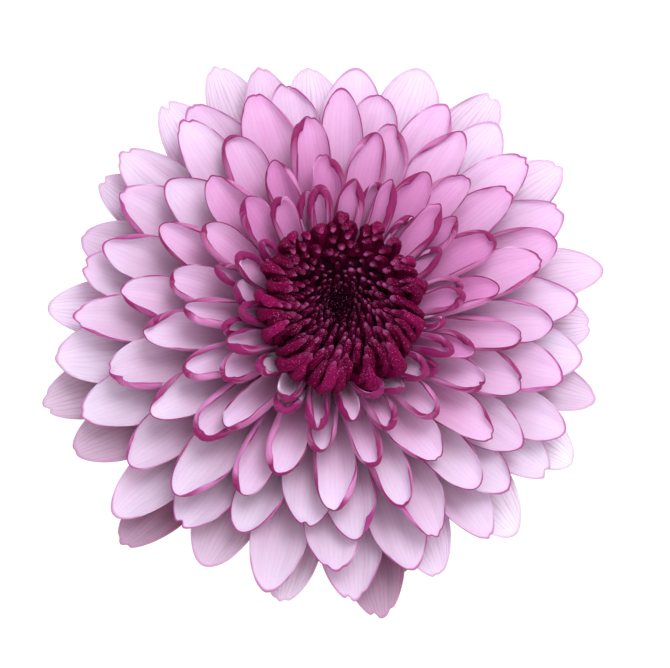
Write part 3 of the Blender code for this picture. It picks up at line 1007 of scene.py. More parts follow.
@dataclass
class RayFlorets(Blades):
    """The long, cupped petals. A pair of sizes is for the outermost and the innermost."""

    dome: Dome = Dome()
    count: int = 117
    tip_radius: Pair = (41 * MM, 16 * MM)
    tip_height: Pair = (-2 * MM, 14.5 * MM)
    base_elevation: Pair = (math.radians(26), math.radians(68))
    tip_elevation: Pair = (math.radians(-12), math.radians(52))
    half_width: Pair = (4.9 * MM, 2.9 * MM)
    longer_towards: float = math.radians(85)
    reach: float = 0.0  # how much further out the tips are on that side
    outermost_reach: float = 1.8 * MM  # how much further out an outermost tip may be
    uneven: Pair = (0.95, 1.03)  # from the shortest to the longest
    deepest_cup: float = math.radians(98)
    cup_spread: Pair = (0.8, 1.2)  # from the flattest to the deepest
    handles: Pair = (0.30, 0.35)  # of the midline, against its chord
    point: float = 0.24

    def level(self, graph: GrowthGraph, number: Number) -> Number:
        """The first floret is the innermost."""
        return 1 - (number + 0.5) / self.count

    def azimuth(self, graph: GrowthGraph, number: Number) -> Number:
        """The golden angle, a little uneven."""
        return number * GOLDEN_ANGLE + math.radians(3.0) * graph.wobble(number, 0.7549)

    def midline(self, graph: GrowthGraph, level: Number, number: Number) -> list[Pair]:
        """As in the solids, with tips that are a little uneven.

        Args:
            graph: the tree.
            level: where the floret stands.
            number: the floret's number.

        Returns:
            The four Bezier points, from the dome to the tip.
        """
        base = self.dome.foot(graph, level)
        azimuth = self.azimuth(graph, number)
        towards = graph.cos(azimuth - self.longer_towards)
        lean = 1 + 0.045 * towards + 0.04 * graph.cos(2 * azimuth - math.radians(105))
        tip_radius = lerp(*self.tip_radius, level**1.8) * graph.random(*self.uneven, number, 11) * lean
        tip_radius = tip_radius + self.reach * graph.largest(towards, 0.0)
        further = graph.random(0.0, self.outermost_reach, number, 29)
        tip_radius = tip_radius + graph.step(0.12, 0.0, level) * further
        tip_height = lerp(*self.tip_height, level) + graph.random(-0.5 * MM, 0.5 * MM, number, 12)
        chord = graph.sqrt((tip_radius - base[0]) ** 2 + (tip_height - base[1]) ** 2)
        start = lerp(*self.base_elevation, level)
        end = lerp(*self.tip_elevation, level**1.3) + graph.random(-0.12, 0.12, number, 13)
        low, high = (chord * share for share in self.handles)
        rise = base[0] + graph.cos(start) * low, base[1] + graph.sin(start) * low
        run = tip_radius - graph.cos(end) * high, tip_height - graph.sin(end) * high
        return [base, rise, run, (tip_radius, tip_height)]

    def form(self, graph: GrowthGraph, level: Number, number: Number) -> BladeForm:
        """Outer petals lie open and inner ones are rolled like spoons.

        Args:
            graph: the tree.
            level: where the floret stands.
            number: the floret's number.

        Returns:
            The form.
        """
        young = graph.step(0.82, 0.97, level)
        cup = lerp(math.radians(40), self.deepest_cup, graph.step(0.2, 1.0, level))
        curl = lerp(0.35, 1.5, graph.step(0.1, 0.9, level)) * graph.random(0.5, 1.4, number, 15)
        return BladeForm(
            half_width=lerp(*self.half_width, level**4) * (1 + 0.09 * graph.wobble(number, 0.5698)),
            base_share=0.3,
            cup_base=lerp(math.radians(40), math.radians(150), level**2),
            cup_tip=cup * graph.random(*self.cup_spread, number, 14),
            curl=curl + young * graph.random(0.0, 1.6, number, 28),
            curl_share=lerp(0.2, 0.36, level) + 0.12 * young,
            favour=graph.random(-0.95, 0.95, number, 16),
            twist=lerp(math.radians(5), math.radians(16), level) * graph.random(-1.0, 1.0, number, 17),
            sway=graph.random(-1.2 * MM, 1.2 * MM, number, 18),
            notch=graph.largest(graph.random(-0.008, 0.026, number, 19), 0.0),
            notch_at=graph.random(-0.9 * MM, 0.9 * MM, number, 20),
            wave=lerp(0.3 * MM, 0.05 * MM, level),
            ribs=lerp(0.2 * MM, 0.05 * MM, level),
        )


@dataclass
class Spoons(RayFlorets):
    """The shortest petals, rolled almost into tubes, which stand between the disc and the open petals."""

    tip_radius: Pair = (16.5 * MM,) * 2
    tip_height: Pair = (14.6 * MM,) * 2
    half_width: Pair = (3.5 * MM,) * 2
    uneven: Pair = (0.9, 1.14)
    deepest_cup: float = math.radians(92)
    cup_spread: Pair = (0.75, 1.3)
    point: float = 0.32
    reach: float = 4.0 * MM
    per_ring: int = 18

    def level(self, graph: GrowthGraph, number: Number) -> Number:
        """They all stand as far in as the innermost petals."""
        return 1.0 + 0.0 * number


@dataclass
class Layering:
    """Bends each petal down where it would cut through one that lies over it."""

    thickness: float
    neighbours: tuple[int, ...] = (3, 5, 8, 13, 21, 34)  # the petals over it have numbers this much lower
    clearance: float = 0.15 * MM
    rounds: int = 40  # how many edges away a bend is still felt

    def press(self, whorls: list[Piece]) -> None:
        """Bends every petal of every whorl.

        Args:
            whorls: from the innermost outwards. Their petals carry number and face.
        """
        above: dict[int, BVHTree] = {}
        for whorl in whorls:
            mesh = whorl.data
            places = read_numbers(mesh.vertices, "co", 3).astype(float)
            numbers = np.round(read_field(mesh, "number")).astype(int)
            face = read_field(mesh, "face")
            edges = read_numbers(mesh.edges, "vertices", 2, np.int32)
            polygons = [tuple(polygon.vertices) for polygon in mesh.polygons]
            owner = numbers[[polygon[0] for polygon in polygons]]
            for number in sorted(set(numbers)):
                mine = np.flatnonzero(numbers == number)
                lies_over = [above[number - step] for step in self.neighbours if number - step in above]
                needed = self._needed(places, mine, face, lies_over)
                places[:, 2] += self._spread(needed, edges[numbers[edges[:, 0]] == number])
                faces = [polygons[i] for i in np.flatnonzero(owner == number)]
                above[number] = BVHTree.FromPolygons(places.tolist(), faces)
            mesh.vertices.foreach_set("co", places.ravel())

    def _needed(
        self, places: np.ndarray, mine: np.ndarray, face: np.ndarray, lies_over: list[BVHTree]
    ) -> np.ndarray:
        """How far the points of one petal have to come down.

        Args:
            places: where every point of the whorl is.
            mine: which of them are the petal's.
            face: 1 for each point on a petal's face and 0 for each on its back.
            lies_over: the petals that lie over it.

        Returns:
            A number from 0 downwards for every point of the whorl.
        """
        needed = np.zeros(len(places))
        for i in mine:
            x, y, z = places[i]
            room = self.clearance + (1 - face[i]) * self.thickness
            for tree in lies_over:
                hit = tree.ray_cast(Vector((x, y, -1.0)), Vector((0, 0, 1)))[0]
                if hit is not None:
                    needed[i] = min(needed[i], hit.z - room - z)
        return needed

    def _spread(self, needed: np.ndarray, edges: np.ndarray) -> np.ndarray:
        """Eases the bend into the petal round it, so that it shows no crease.

        Args:
            needed: how far each point has to come down.
            edges: the petal's edges.

        Returns:
            How far each point comes down.
        """
        bend = needed.copy()
        count = np.bincount(edges.ravel(), minlength=len(needed)).clip(1)
        for _ in range(self.rounds if bend.any() else 0):
            total = np.zeros(len(needed))
            np.add.at(total, edges[:, 0], bend[edges[:, 1]])
            np.add.at(total, edges[:, 1], bend[edges[:, 0]])
            bend = np.minimum(needed, total / count)
        return bend


def read_numbers(
    items: bpy.types.bpy_prop_collection, key: str, width: int, kind: type = np.float32
) -> np.ndarray:
    """Reads a property of every item.

    Args:
        items: a mesh's points or edges, or the numbers that it carries.
        key: the property.
        width: how many numbers an item has.
        kind: their type.

    Returns:
        A row for each item.
    """
    values = np.empty(len(items) * width, dtype=kind)
    items.foreach_get(key, values)
    return values.reshape(-1, width)


def read_field(mesh: bpy.types.Mesh, label: str) -> np.ndarray:
    """The number that each point of a mesh carries under this name."""
    return read_numbers(mesh.attributes[label].data, "value", 1).ravel()


@dataclass
class Bracts(Blades):
    """The small green bracts under the bloom."""

    outer: tuple[Pair, ...] = ((4.6, -12.6), (9.5, -11.6), (13.6, -9.2), (15.6, -5.6))
    inner: tuple[Pair, ...] = ((5.4, -11.4), (9.6, -10.6), (13.2, -8.4), (14.6, -4.9))

    def level(self, graph: GrowthGraph, number: Number) -> Number:
        """Numbers 0 to 12 are the outer whorl and 13 to 25 the inner."""
        return graph.step(WHORL - 0.6, WHORL - 0.4, number)

    def azimuth(self, graph: GrowthGraph, number: Number) -> Number:
        """Even steps, with the inner whorl half a step on."""
        return (number + 0.5 * self.level(graph, number)) * (math.tau / WHORL)

    def midline(self, graph: GrowthGraph, level: Number, number: Number) -> list[Pair]:
        """As in the solids."""
        pairs = zip(self.outer, self.inner)
        return [(lerp(o[0] * MM, i[0] * MM, level), lerp(o[1] * MM, i[1] * MM, level)) for o, i in pairs]

    def form(self, graph: GrowthGraph, level: Number, number: Number) -> BladeForm:
        """Flat, narrow and close to the cup.

        Args:
            graph: the tree.
            level: 0 for the outer whorl and 1 for the inner; not used.
            number: the bract's number.

        Returns:
            The form.
        """
        return BladeForm(
            half_width=1.9 * MM * graph.random(0.9, 1.1, number, 31),
            base_share=0.6,
            cup_base=math.radians(22),
            cup_tip=math.radians(30),
            curl=0.5,
            curl_share=0.2,
            favour=0.0,
            twist=graph.random(-0.08, 0.08, number, 32),
            sway=graph.random(-0.5 * MM, 0.5 * MM, number, 33),
            notch=0.0,
            wave=0.08 * MM,
        )


@dataclass
class Disc:
    """The young florets in the middle: closed fingers that hook over each other towards a dimple.

    A pair of sizes is for the middle of the disc and its edge.
    """

    dome: Dome = Dome()
    count: int = 262
    outer_count: int = 55  # in each of the two pieces at the edge
    fine: tuple[int, int] = (12, 18)  # steps around and along a finger at the disc's edge
    plain: tuple[int, int] = (7, 9)  # and one of the many small ones inside it
    tip_radius: float = 8.9 * MM
    tip_height: Pair = (10.4 * MM, 15.2 * MM)
    half_width: Pair = (0.3 * MM, 1.02 * MM)
    hook: Pair = (1.5 * MM, 10.0 * MM)
    slope: Pair = (math.radians(85), math.radians(8))  # of the hooks
    depth: float = 0.75  # how deep a finger is, against its width
    lean: Pair = (2.4 * MM, 0.9 * MM)
    lean_towards: float = math.radians(78)
    reach: float = 2.4 * MM  # how much further the edge goes out on that side
    squeeze: float = 0.11  # how much narrower the disc is across the lean
    closed_from: float = 0.6  # share of a finger's length where its tip begins to close
    lumps: float = 620.0  # in a metre
    lump_height: float = 1.3 * MM
    cushion_steps: int = 48
    cushion: tuple[Pair, ...] = (  # in millimetres
        (0, 7.6), (1.5, 8.0), (4, 9.2), (6.5, 10.6), (8.5, 11.6),
        (9.3, 11.0), (7, 9.0), (2.4, 6.6), (2.1, 5.3), (0, 5.3),
    )

    def midline(self, graph: GrowthGraph, share: Wire, number: Wire, towards: Wire) -> list[Pair]:
        """The four Bezier points of a finger's midline, as (radius, height).

        Args:
            graph: the tree.
            share: 0 in the middle of the disc and 1 at its edge.
            number: the floret's number.
            towards: 1 on the side that all florets lean to and -1 on the other.

        Returns:
            The points, from the dome to the tip.
        """
        base = self.dome.foot(graph, 1.48 - 0.48 * share)
        oval = 1 - self.squeeze * (1 - towards * towards)
        facing = graph.largest(towards, 0.0) * share
        radius = self.tip_radius * share**0.9 + graph.random(-0.8 * MM, 0.6 * MM, number, 21) * share
        radius = radius * oval + lerp(*self.lean, share) * towards
        radius = radius + self.reach * graph.step(0.0, 0.75, towards) * share
        height = lerp(*self.tip_height, share) + graph.random(-0.6 * MM, 0.5 * MM, number, 22)
        slope = lerp(*self.slope, graph.step(0.0, 0.9, share))
        slope = slope + graph.random(-0.15, 0.15, number, 23) + 0.7 * facing
        hook = lerp(*self.hook, share) * oval * (1 - 0.25 * facing)
        crest = radius + hook * graph.cos(slope), height - hook * graph.sin(slope) + 0.45 * hook * share
        rise = base[0] + 1.3 * MM * share, base[1] + 4 * MM
        return [base, rise, crest, (radius, height)]

    def tree(self, name: str, material: Material) -> GrowthGraph:
        """The tree that grows the florets of one solid.

        Args:
            name: the tree's name.
            material: the florets' finish.

        Returns:
            The finished tree, with inputs First floret, Florets, Around, Along and Widest.
        """
        narrow, wide = self.half_width
        steps = {"Around": self.fine[0], "Along": self.fine[1]}
        graph = GrowthGraph(name, {"First floret": 0, "Florets": 1, **steps, "Widest": wide})
        step = graph.step
        around, along = graph.size("Around"), graph.size("Along")
        ball = graph.made("MeshUVSphere", Segments=around, Rings=along, Radius=1.0)
        x, y, z = graph.parts(graph.made("InputPosition"))
        radius = graph.sqrt(x * x + y * y) + 0.00001
        up = graph.math("ARCCOSINE", -z) / math.pi
        ball = graph.store(ball, {"sideways": x / radius, "outwards": y / radius, "up": up})
        fingers = graph.copies(ball)

        number, up, sideways, outwards = graph.fields("number", "up", "sideways", "outwards")
        share = (self.count + number + 0.5) / self.count
        beyond = graph.largest(up - self.closed_from, 0.0) * (math.pi / 2 / (1 - self.closed_from))
        along = 0.9 * graph.smallest(up / self.closed_from, 1.0) + 0.1 * graph.sin(beyond)
        azimuth = number * GOLDEN_ANGLE
        towards = graph.cos(azimuth - self.lean_towards)
        width = lerp(narrow, graph.size("Widest"), share**0.8) * graph.random(0.8, 1.22, number, 24)
        width = width * (0.5 + 0.5 * step(0.0, 0.65, along)) * (1 - 0.36 * step(0.6, 1.0, along))
        uneven = 1 + 0.14 * graph.sin(along * 17 + number * 2.3 + sideways * 1.5)
        width = width * graph.cos(beyond) * uneven
        furrow = 1 - 0.25 * step(0.45, 0.0, graph.size_of(sideways)) * step(0.4, 0.9, along)
        side, lift = width * sideways, width * self.depth * outwards * furrow
        side, lift = graph.rotated(side, lift, graph.random(-0.5, 0.5, number, 25))
        sway = lerp(*self.lean, share) * graph.sin(self.lean_towards - azimuth)
        sway = sway + graph.random(0.0, 2.4 * MM, number, 26) * share

        # onto the midline, and round the bloom's axis
        midline = self.midline(graph, share, number, towards)
        (radius, height), (outward, upward) = graph.bezier(midline, along)
        x, y = graph.rotated(radius - upward * lift, side + sway * along * along, azimuth)
        values = {"along": along, "chance": graph.random(0.0, 1.0, number, 90), "share": share}
        place = graph.vector(x, y, height + outward * lift)
        placed = graph.made("SetPosition", Geometry=graph.store(fingers, values), Position=place)
        lump = graph.number("ShaderNodeTexNoise", "Fac", inputs={"Scale": self.lumps, "Detail": 1.0})
        graph.finish(graph.pushed(placed, (lump - 0.5) * self.lump_height * share), material)
        return graph

    def build(self) -> list[Piece]:
        """Makes the cushion under the florets, and the florets in three pieces from the edge inwards.

        Returns:
            The pieces, in the bloom frame.
        """
        young = YoungFinish("young_petal").material()
        bud = YoungFinish("disc_bud", body="52012A").material()
        cushion = turned("disc_cushion", self.cushion, self.cushion_steps, bud)
        made, first = [settle(cushion, "disc_florets", "disc_bud")], 0
        for node, slot, finish, count, (around, along) in (
            ("young_florets_outer", "young_petal", young, self.outer_count, self.fine),
            ("young_florets_inner", "young_petal", young, self.outer_count, self.fine),
            ("disc_florets", "disc_bud", bud, self.count - 2 * self.outer_count, self.plain),
        ):
            first -= count
            name = f"{node}_finished"
            sizes = {"First floret": first, "Florets": count, "Around": around, "Along": along}
            made.append(settle(self.tree(name, finish).grow(name, sizes), node, slot))
        return made


@dataclass
class Bloom:
    """The flower head: it places its pieces, in its own frame, in the world."""

    centre: Vector
    tilt: float = math.radians(18)
    tilt_towards: float = SUNNY_SIDE
    whorls: int = 9

    def frame(self) -> Matrix:
        """The bloom frame in the world."""
        axis = Vector((-math.sin(self.tilt_towards), math.cos(self.tilt_towards), 0))
        return Matrix.Translation(self.centre) @ Quaternion(axis, self.tilt).to_matrix().to_4x4()

    def build(self) -> list[Piece]:
        """Grows every piece of the flower head.

        Returns:
            The pieces, in place.
        """
        pieces = self._rays() + Disc().build() + self._calyx()
        for piece in pieces:
            piece.data.transform(self.frame())
        return pieces

    def _rays(self) -> list[Piece]:
        """The ring of spoons and the nine whorls of petals.

        Returns:
            The pieces. Whorl 1 is the outermost and holds the highest numbers.
        """
        finish = PetalFinish().material()
        spoons = Spoons(thickness=0.4 * MM, columns=20, rows=28)
        sizes = {"First floret": -spoons.per_ring, "Florets": spoons.per_ring}
        ring = spoons.tree("spoon_florets", finish).grow("spoon_florets", sizes)
        made = [settle(ring, f"ray_petals_{self.whorls}", "petal")]
        rays = RayFlorets(thickness=0.34 * MM, columns=24, rows=34)
        tree = rays.tree("ray_florets", finish)
        for i in range(self.whorls):
            name = f"ray_petals_{self.whorls - i}"
            whorl = tree.grow(f"{name}_finished", {"First floret": i * WHORL, "Florets": WHORL})
            made.append(settle(whorl, name, "petal"))
        Layering(rays.thickness).press(made)
        return made

    def _calyx(self) -> list[Piece]:
        """The two whorls of bracts.

        Returns:
            The pieces.
        """
        finish = GreenFinish("bract", "56703A", "8FA566", 5.0).material()
        tree = Bracts(thickness=0.5 * MM, columns=12, rows=20).tree("bracts", finish)
        made = []
        for i, name in enumerate(("calyx_bracts_outer", "calyx_bracts_inner")):
            bracts = tree.grow(f"{name}_finished", {"First floret": i * WHORL, "Florets": WHORL})
            made.append(settle(bracts, name, "bract"))
        return made


# ---------------------------------------------------------------- vase, stem and leaves


@dataclass
class Vase:
    """The bud vase, thrown on a wheel, with the same wall as its solid. Its sizes are in millimetres."""

    curves: tuple[tuple[Pair, ...], ...] = (
        ((21, 0), (27.5, 10), (30, 19), (30, 33)),
        ((30, 33), (30, 53), (11.5, 64), (11.5, 78)),
        ((11.5, 78), (11.5, 82), (11.5, 86), (14.5, 92)),
    )
    curve_points: int = 22
    steps_round: int = 112
    wall: float = 2.8
    floor: float = 4.5
    crown: float = 0.9
    foot_ring: float = 3.2
    foot_depth: float = 0.9
    out_of_round: float = 0.0035  # against the radius, as are the throwing rings
    throwing_rings: float = 0.0022

    def outline(self) -> list[Pair]:
        """The whole section.

        Returns:
            Its points, from the inside of the floor over the lip to the middle of the foot.
        """
        inner, outer = self._wall_points(self.wall, self.floor), self._wall_points(0.0, 0.0)
        radius, height = self.curves[-1][-1]
        half = self.wall / 2
        lip = [
            (radius - half + half * math.cos(angle), height + self.crown * math.sin(angle))
            for angle in (math.radians(d) for d in range(165, 0, -15))
        ]
        foot = self.curves[0][0][0]
        ring = foot - self.foot_ring
        under = [(foot + 0.1, 0.35), (foot - 0.5, 0.0), (ring + 0.4, 0.0), (ring, self.foot_depth / 2)]
        under += [(ring - 0.8, self.foot_depth), (0, self.foot_depth)]
        return [(0, self.floor), *inner, *lip, *outer[:0:-1], *under]

    def _wall_points(self, inset: float, lowest: float) -> list[Pair]:
        """Points up the wall.

        Args:
            inset: how far inside the outer surface they lie.
            lowest: the height under which none lies.

        Returns:
            The points.
        """
        line: list[Pair] = []
        for curve in self.curves:
            corners = [Vector((radius - inset, 0, max(height, lowest))) for radius, height in curve]
            points = interpolate_bezier(*corners, self.curve_points)
            line += [(point.x, point.z) for point in points][1 if line else 0 :]
        return line

    def build(self) -> Piece:
        """Turns the vase and gives its outside faint throwing rings.

        Returns:
            The vase.
        """
        piece = turned("vase_finished", self.outline(), self.steps_round, GlazeFinish().material())
        for vertex in piece.data.vertices:
            x, y, z = vertex.co
            angle = math.atan2(y, x)
            swell = self.out_of_round * math.sin(2 * angle + 0.6) * min(z / (20 * MM), 1.0)
            spiral = math.sin(z / (0.9 * MM) + angle) + 0.6 * math.sin(z / (0.37 * MM) - 0.7)
            ring = self.throwing_rings * spiral * min(z / (14 * MM), 1.0) * max(1 - z / (88 * MM), 0.0)
            vertex.co.x, vertex.co.y = x * (1 + swell + ring), y * (1 + swell + ring)
        return settle(piece, "vase vase_neck", "glazed_stoneware")


@dataclass
class Stem:
    """The cut stem: it rests on the vase floor, leans on the neck and bends up to the bloom."""

    bloom: Bloom
    radius: float = 2.2 * MM
    top_radius: float = 2.9 * MM
    foot_offset: float = 1.5 * MM
    foot_height: float = 4.85 * MM
    neck_height: float = 78 * MM
    neck_offset: float = 6.15 * MM
    lean: float = 0.10
    handles: tuple[float, float, float] = (25 * MM, 22 * MM, 18 * MM)
    top: float = -12.4 * MM
    ribs: int = 9
    rib_height: float = 0.035  # against the radius
    steps_along: int = 90
    steps_round: int = 54

    def knots(self) -> list[tuple[Vector, Vector, Vector]]:
        """Its three Bezier knots.

        Returns:
            For each its place, the handle before it and the handle after it.
        """
        frame = self.bloom.frame()
        axis = frame.to_3x3() @ Vector((0, 0, 1))
        back = -Vector((math.cos(self.bloom.tilt_towards), math.sin(self.bloom.tilt_towards), 0))
        foot = -back * self.foot_offset + Vector((0, 0, self.foot_height))
        neck = back * self.neck_offset + Vector((0, 0, self.neck_height))
        top = frame @ Vector((0, 0, self.top))
        leaning = (back * self.lean + Vector((0, 0, 1))).normalized()
        inside, above, under = self.handles
        return [
            (foot, foot, foot + Vector((0, 0, inside))),
            (neck, neck - leaning * inside, neck + leaning * above),
            (top, top - axis * under, top),
        ]

    def centre_at(self, height: float) -> Vector:
        """The point of its centreline at this height."""
        _, (knot, _, out), (end, before, _) = self.knots()
        return min(interpolate_bezier(knot, out, before, end, 200), key=lambda point: abs(point.z - height))

    def build(self) -> Piece:
        """Grows the ribbed stem along its curve.

        Returns:
            The stem.
        """
        curve = bpy.data.curves.new("stem_route", "CURVE")
        curve.dimensions = "3D"
        spline = curve.splines.new("BEZIER")
        spline.bezier_points.add(2)
        for point, (place, before, after) in zip(spline.bezier_points, self.knots()):
            point.co, point.handle_left, point.handle_right = place, before, after
        finish = GreenFinish("stem_green", "56702F", "8DA35A", 9.0).material()
        piece = self.tree(finish).grow("stem_finished", {"Radius": self.radius}, curve)
        return settle(piece, "stem", "stem_green")

    def tree(self, material: Material) -> GrowthGraph:
        """The tree that sweeps a ribbed section along the stem's curve.

        Args:
            material: the stem's finish.

        Returns:
            The finished tree, with inputs Radius and Ribs.
        """
        graph = GrowthGraph("ribbed_stem", {"Radius": self.radius, "Ribs": self.ribs})
        line = graph.made("ResampleCurve", Curve=graph.entry.outputs["Geometry"], Count=self.steps_along)
        along = Wire(graph, graph.made("SplineParameter"))
        swell = 1 + (self.top_radius / self.radius - 1) * graph.step(0.86, 1.0, along)
        line = graph.store(line, {"along": along, "swell": swell})
        ring = graph.made("CurvePrimitiveCircle", Resolution=self.steps_round, Radius=1.0)
        around = Wire(graph, graph.made("SplineParameter"))
        ribbing = 1 + self.rib_height * graph.cos(around * graph.size("Ribs") * math.tau)
        radius = graph.size("Radius") * ribbing
        x, y, _ = graph.parts(graph.made("InputPosition"))
        ring = graph.store(ring, {"across": around * 2})
        place = graph.vector(x * radius, y * radius, 0.0)
        section = graph.made("SetPosition", Geometry=ring, Position=place)
        inputs = {"Curve": line, "Profile Curve": section, "Fill Caps": True, "Scale": graph.field("swell")}
        graph.finish(graph.made("CurveToMesh", **inputs), material)
        return graph


@dataclass
class LeafSize:
    """One leaf: where it grows, which way, how long it is and how far its tip drops."""

    node: str
    height: float
    direction: float
    length: float
    droop: float


@dataclass
class Leaves:
    """The lobed leaves on the stem. A share is of the leaf's length."""

    stem: Stem
    columns: int = 28
    rows: int = 88
    thickness: float = 0.5 * MM
    half_width: float = 0.30
    petiole_half_width: float = 0.9 * MM
    petiole_share: float = 0.22
    petiole_rows: float = 0.15
    lobes: int = 3
    lobes_end: float = 0.8
    lobe_depth: float = 0.40
    tooth_depth: float = 0.07
    sweep: float = 0.45
    fold: float = 0.20
    quilt: float = 0.35 * MM
    ripple: float = 0.6 * MM
    start: float = 1.2 * MM  # from the stem's middle, so that the stalk grows out of the stem
    stalk_thickness: float = 1.3 * MM

    def sizes(self) -> list[LeafSize]:
        """The four leaves.

        Returns:
            Their sizes, from the lowest up.
        """
        return [
            LeafSize("leaf_low", 99 * MM, math.radians(25), 38 * MM, 9 * MM),
            LeafSize("leaf_middle", 107 * MM, math.radians(162), 38 * MM, 10 * MM),
            LeafSize("leaf_high", 115 * MM, math.radians(300), 34 * MM, 8 * MM),
            LeafSize("leaf_top", 124 * MM, math.radians(77), 26 * MM, 9 * MM),
        ]

    def build(self) -> list[Piece]:
        """Grows each leaf and turns it to its place on the stem.

        Returns:
            The leaves.
        """
        tree = self.tree(LeafFinish().material())
        made = []
        for i, leaf in enumerate(self.sizes()):
            values = {"Length": leaf.length, "Droop": leaf.droop, "Variation": i}
            piece = tree.grow(f"{leaf.node}_finished", values)
            root = Matrix.Translation(self.stem.centre_at(leaf.height))
            piece.data.transform(root @ Matrix.Rotation(leaf.direction, 4, "Z"))
            made.append(settle(piece, leaf.node, "leaf"))
        return made

    def tree(self, material: Material) -> GrowthGraph:
        """The tree that grows one leaf along +X.

        Args:
            material: the leaf's finish.

        Returns:
            The finished tree, with inputs Length, Droop and Variation.
        """
        graph = GrowthGraph("lobed_leaf", {"Length": 38 * MM, "Droop": 9 * MM, "Variation": 0})
        step, cos, petiole = graph.step, graph.cos, self.petiole_share
        sheet = graph.two_sided_grid(self.columns, self.rows)
        across, up = graph.fields("across", "up")
        length, seed = graph.size("Length"), graph.size("Variation")
        # the stalk takes a few rows and the blade the rest
        share = petiole * graph.smallest(up / self.petiole_rows, 1.0)
        share = share + (1 - petiole) * graph.largest(up - self.petiole_rows, 0.0) / (1 - self.petiole_rows)
        blade = graph.largest(share - petiole, 0.0) / (1 - petiole)
        # an oval with lobes and teeth, which sweep towards the tip
        oval = self.half_width * length * graph.sin(math.pi * blade**0.8) ** 0.7
        passed = (self.lobes + 0.5) * graph.smallest(blade / self.lobes_end, 1.0)
        notch = self.lobe_depth * (0.5 + 0.5 * cos(math.tau * passed)) ** 0.8
        teeth = self.tooth_depth * (0.5 + 0.5 * cos(math.tau * 3 * passed + across))
        teeth = teeth * step(0.05, 0.2, blade)
        half = graph.largest(oval * (1 - notch - teeth), self.petiole_half_width * (1 - blade))
        side = across * half
        spread = graph.size_of(side)
        reach = share + self.sweep * spread / length * step(petiole, 0.5, share)
        spine = [
            (self.start, -0.6 * MM),
            (self.start + 0.25 * length, 0.18 * length),
            (0.72 * length, 0.42 * length),
            (0.95 * length, 0.42 * length - graph.size("Droop")),
        ]
        (x, z), _ = graph.bezier(spine, graph.smallest(reach, 1.0))
        # a vein to each lobe, with the blade raised between the veins
        vein = graph.size_of(graph.math("FRACT", passed) - 0.5)
        vein = vein + step(self.lobes_end - 0.03, self.lobes_end, blade)
        quilt = self.quilt * cos(math.tau * passed) * step(0.0, 0.4, graph.size_of(across))
        quilt = quilt * step(0.0, 0.2, blade)
        ripple = self.ripple * graph.sin(share * 17 + seed * 2.1 + across * 1.3) * across * across
        ripple = ripple * step(0.0, 0.3, blade)
        place = graph.vector(x, side, z + self.fold * spread + quilt + ripple)
        rim = graph.largest(graph.size_of(across), graph.size_of(2 * up - 1) ** 4)
        thickness = lerp(self.stalk_thickness, self.thickness, step(0.5 * petiole, 0.5, share))
        sheet = graph.store(sheet, {"vein": vein})
        graph.finish(graph.thickened(sheet, place, thickness * graph.sqrt(1 - rim**6)), material)
        return graph


# ---------------------------------------------------------------- studio


class Direction(Enum):
    """Which way a lamp stands from the bloom, as (azimuth from +X, elevation)."""

    KEY = (math.radians(66), math.radians(46))
    FILL = (math.radians(290), math.radians(46))


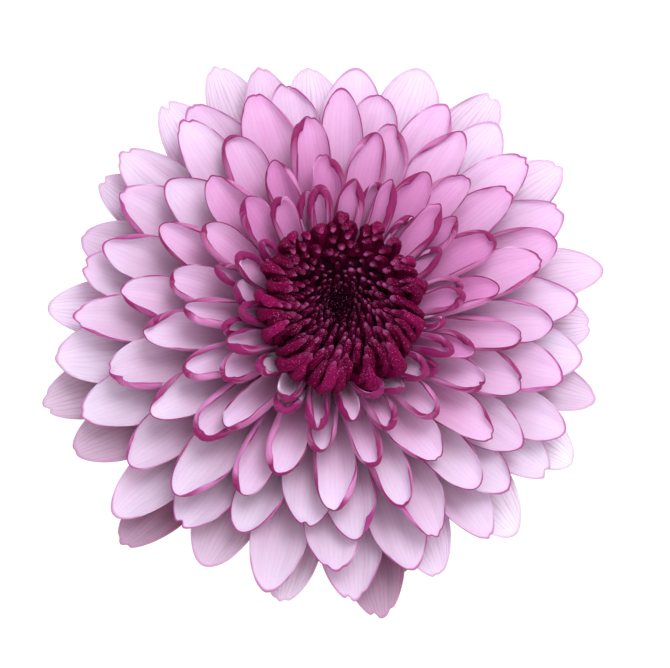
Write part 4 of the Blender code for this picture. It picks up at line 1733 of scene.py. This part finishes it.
@dataclass
class Studio:
    """A pale floor, soft light and the camera that looks straight down on the bloom."""

    bloom_height: float
    distance: float = 420 * MM
    frame_width: float = 95 * MM
    sensor: float = 36.0
    aim: tuple[float, float] = (1.3 * MM, 0.6 * MM)
    floor_width: float = 6.0
    lamp_distance: float = 0.8
    key: tuple[float, float] = (3.7, 0.45)  # power in watts and width in metres
    fill: tuple[float, float] = (1.1, 0.6)
    sky: float = 0.92

    def build(self) -> None:
        """Makes the camera, the floor, the lamps and the world."""
        bpy.context.scene.view_settings.view_transform = "Standard"
        self._camera()
        self._floor()
        self._world()
        self._lamp("key", Direction.KEY, *self.key)
        self._lamp("fill", Direction.FILL, *self.fill)

    def _camera(self) -> None:
        """Looks straight down, with +Y up in the view."""
        data = bpy.data.cameras.new("camera")
        data.sensor_width = self.sensor
        data.lens = self.sensor * self.distance / self.frame_width
        camera = add_object("camera", data)
        camera.location = (*self.aim, self.bloom_height + self.distance)
        bpy.context.scene.camera = camera

    def _floor(self) -> None:
        """A wide pale floor."""
        bpy.ops.mesh.primitive_plane_add(size=self.floor_width)
        floor = bpy.context.object
        floor.name = "floor"
        floor.data.materials.append(FloorFinish().material())

    def _world(self) -> None:
        """Soft white light from all round, and white to look at."""
        world = bpy.data.worlds.new("studio")
        bpy.context.scene.world = world
        world.use_nodes = True
        graph = Graph(world.node_tree)
        graph.tree.nodes.clear()
        rays = graph.node("ShaderNodeLightPath").outputs
        camera, glossy, through = (
            Wire(graph, rays[f"Is {kind} Ray"]) for kind in ("Camera", "Glossy", "Transmission")
        )
        strength = self.sky + (1 - self.sky) * graph.largest(graph.largest(camera, glossy), through)
        sky = graph.node("ShaderNodeBackground", inputs={"Color": (1.0, 1.0, 1.0), "Strength": strength})
        graph.node("ShaderNodeOutputWorld", inputs={"Surface": sky.outputs[0]})

    def _lamp(self, name: str, direction: Direction, power: float, width: float) -> None:
        """A square soft lamp that faces the bloom.

        Args:
            name: the lamp's name.
            direction: where it stands.
            power: its power in watts.
            width: how wide it is.
        """
        azimuth, elevation = direction.value
        level = math.cos(elevation)
        towards = Vector((math.cos(azimuth) * level, math.sin(azimuth) * level, math.sin(elevation)))
        data = bpy.data.lights.new(name, "AREA")
        data.energy = power
        data.size = width
        lamp = add_object(name, data)
        lamp.location = Vector((0, 0, self.bloom_height)) + towards * self.lamp_distance
        lamp.rotation_mode = "QUATERNION"
        lamp.rotation_quaternion = (-towards).to_track_quat("-Z", "Y")


def main() -> None:
    """Builds every piece, settles it on the frame and notes the sizes."""
    logging.basicConfig(level=logging.INFO, format="%(name)s: %(message)s")
    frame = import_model()
    bloom = Bloom(Vector((0, 0, 150 * MM)))
    stem = Stem(bloom)
    pieces = bloom.build() + [Vase().build(), stem.build()] + Leaves(stem).build()
    for piece in pieces:
        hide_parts(*(n for n in piece["stands_for"].split() if n in frame["nodes"]))
        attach(piece, BODY)
        LOG.info("%s: %d faces", piece.name, len(piece.data.polygons))
    green = ReceptacleFinish().material()
    for slot in frame["nodes"]["receptacle"].material_slots:
        slot.material = green
    Studio(bloom.centre.z).build()


if __name__ == "__main__":
    main()
